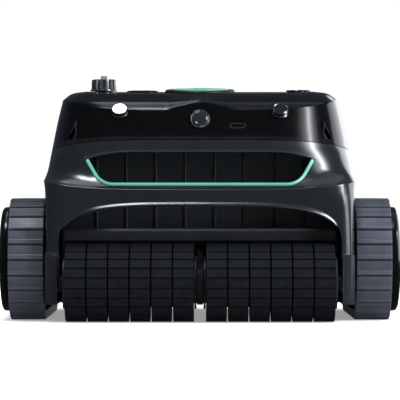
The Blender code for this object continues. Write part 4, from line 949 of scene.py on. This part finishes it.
def build_rear():
    levels = [(y, [rectangle(-0.11 + d, 0.11 - d, 0.084 + d, 0.104 - d, 0.006)])
              for y, d in ((0.2044, 0.0015), (0.2125, 0.0), (0.2134, 0.0006), (0.2138, 0.002))]
    ridges = stack(levels, "Y")
    for i in range(5):
        z = 0.0876 + 0.0032 * i
        prism([rectangle(-0.1, 0.1, z - 0.0008, z + 0.0008, 0.0007, 4)], 0.213, 0.2148, "Y", ridges)
    piece("bumper", ridges, "fin", stands_for=["rear_bumper"], angle=34)
    louvres = []
    for i in range(7):
        z = 0.148 + 0.005 * i
        y = 0.1996 - (z - 0.148) * 0.19
        slat = prism([rectangle(-0.07, 0.07, -0.0014, 0.0014, 0.0012, 4)], -0.001, 0.001, "Y")
        louvres.append(moved(slat, Matrix.Translation((0.0, y, z)) @ Matrix.Rotation(radians(30), 4, "X")))
    edge = prism([rectangle(-0.076, 0.076, -0.021, 0.021, 0.006),
                  rectangle(-0.0735, 0.0735, -0.0185, 0.0185, 0.005)], -0.001, 0.0012, "Y")
    place = Matrix.Translation((0.0, 0.1964, 0.163)) @ Matrix.Rotation(radians(10.8), 4, "X")
    louvres.append(moved(edge, place))
    piece("rear_louvres", joined(louvres), "gloss", bevel=0.0003)


def build_underside():
    flat = 0.018
    lip_out = rectangle(-0.06, 0.06, 0.042, 0.098, 0.008)
    lip_in = rectangle(-0.053, 0.053, 0.049, 0.091, 0.003)
    levels = [(flat + 0.0005, [lip_out, lip_in]), (flat - 0.003, [lip_out, lip_in]),
              (flat - 0.005, [rectangle(-0.0585, 0.0585, 0.0435, 0.0965, 0.007),
                               rectangle(-0.0545, 0.0545, 0.0475, 0.0925, 0.004)])]
    piece("suction_lip", stack(levels), "fin", angle=40)
    outlines = [rectangle(x - 0.0012, x + 0.0012, -0.11, 0.18, 0.001, 4)
                for x in (-0.118, -0.092, 0.092, 0.118)]
    outlines += [rectangle(-0.078, 0.078, y - 0.0012, y + 0.0012, 0.001, 4)
                 for y in (-0.098, -0.058, -0.018, 0.022, 0.13, 0.17)]
    ribs = [prism([outline], flat - 0.0018, flat + 0.0005) for outline in outlines]
    piece("floor_ribs", joined(ribs), "matte", bevel=0.0003)
    heads = bmesh.new()
    for x in (-0.133, 0.133):
        for y in (-0.105, -0.03, 0.045, 0.12, 0.185):
            screw(Matrix.Translation((x, y, flat)) @ Matrix.Rotation(pi, 4, "X"), heads, 0.0032)
    piece("floor_screws", heads, "steel")


def build_inside():
    straps = []
    for x in (-0.05, 0.05):
        outer = rectangle(-0.0625, 0.0455, 0.0225, 0.059, 0.003)
        inner = rectangle(-0.06, 0.043, 0.025, 0.057, 0.001)
        straps.append(prism([outer, inner], x - 0.008, x + 0.008, "X"))
    piece("battery_straps", joined(straps), "matte", bevel=0.0004)
    chips = []
    for x, z, width, height, depth in (
            (-0.03, 0.145, 0.009, 0.009, 0.0018), (0.01, 0.15, 0.012, 0.007, 0.0022),
            (0.038, 0.118, 0.008, 0.012, 0.0016), (-0.02, 0.112, 0.014, 0.006, 0.005),
            (0.045, 0.158, 0.006, 0.004, 0.003)):
        outline = rectangle(x - width, x + width, z - height, z + height, 0.001, 3)
        chips.append(prism([outline], -0.0283 - depth, -0.0279, "Y"))
    piece("board_chips", joined(chips), "matte", bevel=0.0003)
    cans = bmesh.new()
    for x, z, radius in ((-0.05, 0.104, 0.004), (-0.05, 0.118, 0.004), (0.02, 0.1, 0.005),
                         (0.034, 0.098, 0.0032)):
        upright = Matrix.Translation((x, -0.0279, z)) @ Matrix.Rotation(pi / 2, 4, "X")
        turned([(0.0, 0.0), (radius, 0.0), (radius, 0.001), (radius * 0.94, 0.0014), (radius, 0.0018),
                (radius, 0.009), (radius * 0.9, 0.0098), (0.0, 0.0098)], 32, upright, cans)
    piece("board_cans", cans, "steel")


# ---------------- stage, light and camera
def build_stage():
    bm = bmesh.new()
    bmesh.ops.create_circle(bm, cap_ends=True, radius=30.0, segments=96)
    floor = placed("floor", as_mesh(bm, "floor"))
    floor.location.z = -0.0002
    mat = bpy.data.materials.new("studio_floor")
    mat.use_nodes = True
    shader = mat.node_tree.nodes["Principled BSDF"]
    set_inputs(shader, {"Base Color": (0.86, 0.86, 0.86, 1.0), "Roughness": 1.0, "Specular IOR Level": 0.0,
                        "Emission Color": (1.0, 1.0, 1.0, 1.0), "Emission Strength": 0.3})
    dark = shade(mat.node_tree, "ShaderNodeEmission", Color=(1.0, 1.0, 1.0, 1.0), Strength=0.05)
    path = shade(mat.node_tree, "ShaderNodeLightPath")
    either = shade(mat.node_tree, "ShaderNodeMixShader", i0=path.outputs["Is Glossy Ray"],
                   i1=shader.outputs["BSDF"], i2=dark.outputs["Emission"])
    surface = mat.node_tree.nodes["Material Output"].inputs["Surface"]
    mat.node_tree.links.new(either.outputs["Shader"], surface)
    floor.data.materials.append(mat)

    world = bpy.data.worlds.new("studio")
    bpy.context.scene.world = world
    world.use_nodes = True
    tree = world.node_tree
    back = tree.nodes["Background"]
    path = shade(tree, "ShaderNodeLightPath")
    strength = remap(tree, path.outputs["Is Glossy Ray"], 0.0, 1.0, 1.0, 0.07)
    tree.links.new(strength, back.inputs["Strength"])
    cool = shade(tree, "ShaderNodeMixRGB", Fac=path.outputs["Is Glossy Ray"], Color1=(1.0, 1.0, 1.0, 1.0),
                 Color2=(0.78, 0.95, 1.25, 1.0))
    tree.links.new(cool.outputs["Color"], back.inputs["Color"])


def softbox(name, place, target, width, height, radiance):
    """A rectangular light at a place, aimed at a target. Its width runs across, level with the floor."""
    data = bpy.data.lights.new(name, "AREA")
    data.shape = "RECTANGLE"
    data.size, data.size_y = width, height
    data.energy = pi * radiance * width * height
    data.color = (0.93, 0.965, 1.0)
    light = placed(name, data)
    light.location = place
    light.rotation_euler = (Vector(target) - Vector(place)).to_track_quat("-Z", "Y").to_euler()
    light.visible_camera = False


def build_lights():
    softbox("top_left", (-0.25, 0.6, 2.2), (-0.25, 0.59, 0.1), 0.42, 2.0, 1.7)
    softbox("front_top_left", (-0.33, -0.47, 2.2), (-0.33, -0.46, 0.1), 0.56, 0.44, 22.0)
    softbox("top_right", (0.62, 0.6, 2.2), (0.62, 0.59, 0.1), 1.16, 2.0, 0.35)
    for width, radiance in ((0.22, 34.0), (0.55, 9.0), (1.0, 4.0), (1.4, 2.0)):
        softbox("front_strip_right", (1.85, -1.58, 2.1), (0.0, -0.1, 2.1), width, 3.0, radiance)
    softbox("low_strip_right", (1.85, -1.58, 0.3), (0.0, -0.1, 0.3), 0.5, 0.6, 5.5)
    softbox("back_right", (1.8, 1.75, 0.65), (0.0, -0.1, 0.65), 3.3, 1.3, 2.2)
    softbox("side_right", (2.6, 0.5, 0.5), (0.0, -0.1, 0.5), 1.5, 1.0, 1.8)


def build_camera():
    data = bpy.data.cameras.new("camera")
    data.sensor_width = 36.0
    data.lens = 266.9
    data.shift_y = -0.0125
    data.clip_end = 200.0
    camera = placed("camera", data)
    camera.location = (0.0, -3.2, 0.1295)
    camera.rotation_euler = (pi / 2, 0.0, 0.0)
    bpy.context.scene.camera = camera
    bpy.context.scene.view_settings.view_transform = "Standard"


# ---------------- finishes of the carried-over CAD nodes
def dress_nodes():
    edged = {
        "satin": ("lid_latch",),
        "matte": ("center_bracket", "bottom_plate", "service_deck", "suction_duct", "charge_socket",
                  "pump_housing"),
        "gloss": ("filter_lid",),
        "teal": ("impeller",),
        "cell": ("battery_pack",),
        "mesh": ("filter_basket",),
    }
    for mat, nodes in edged.items():
        for node in nodes:
            dress(node, mat, 0.0005)
    dress("brush_housing", "matte", 0.0012, 3)
    dress("front_grille_panel", "panel", 0.0012, 3)
    dress("control_board", "board")
    dress("pump_motor", "steel")
    dress("suction_flap", "fin")
    for name, _ in SIDES:
        dress(f"{name}_side_frame", "satin", 0.0009, 3)
        dress(f"{name}_brush_bushing", "matte", 0.0004)
        for kind, mat in (("front_wheel", "matte"), ("rear_wheel", "matte"), ("front_axle", "steel"),
                          ("rear_axle", "steel"), ("drive_motor", "steel"), ("motor_pinion", "gear"),
                          ("drive_gear", "gear"), ("idler_gear", "gear"), ("brush_gear", "gear")):
            dress(f"{name}_{kind}", mat)


build_camera()
build_stage()
build_lights()
dress_nodes()
build_body()
build_trim()
build_tracks()
build_brushes()
build_face()
build_roof()
build_sides()
build_rear()
build_underside()
build_inside()
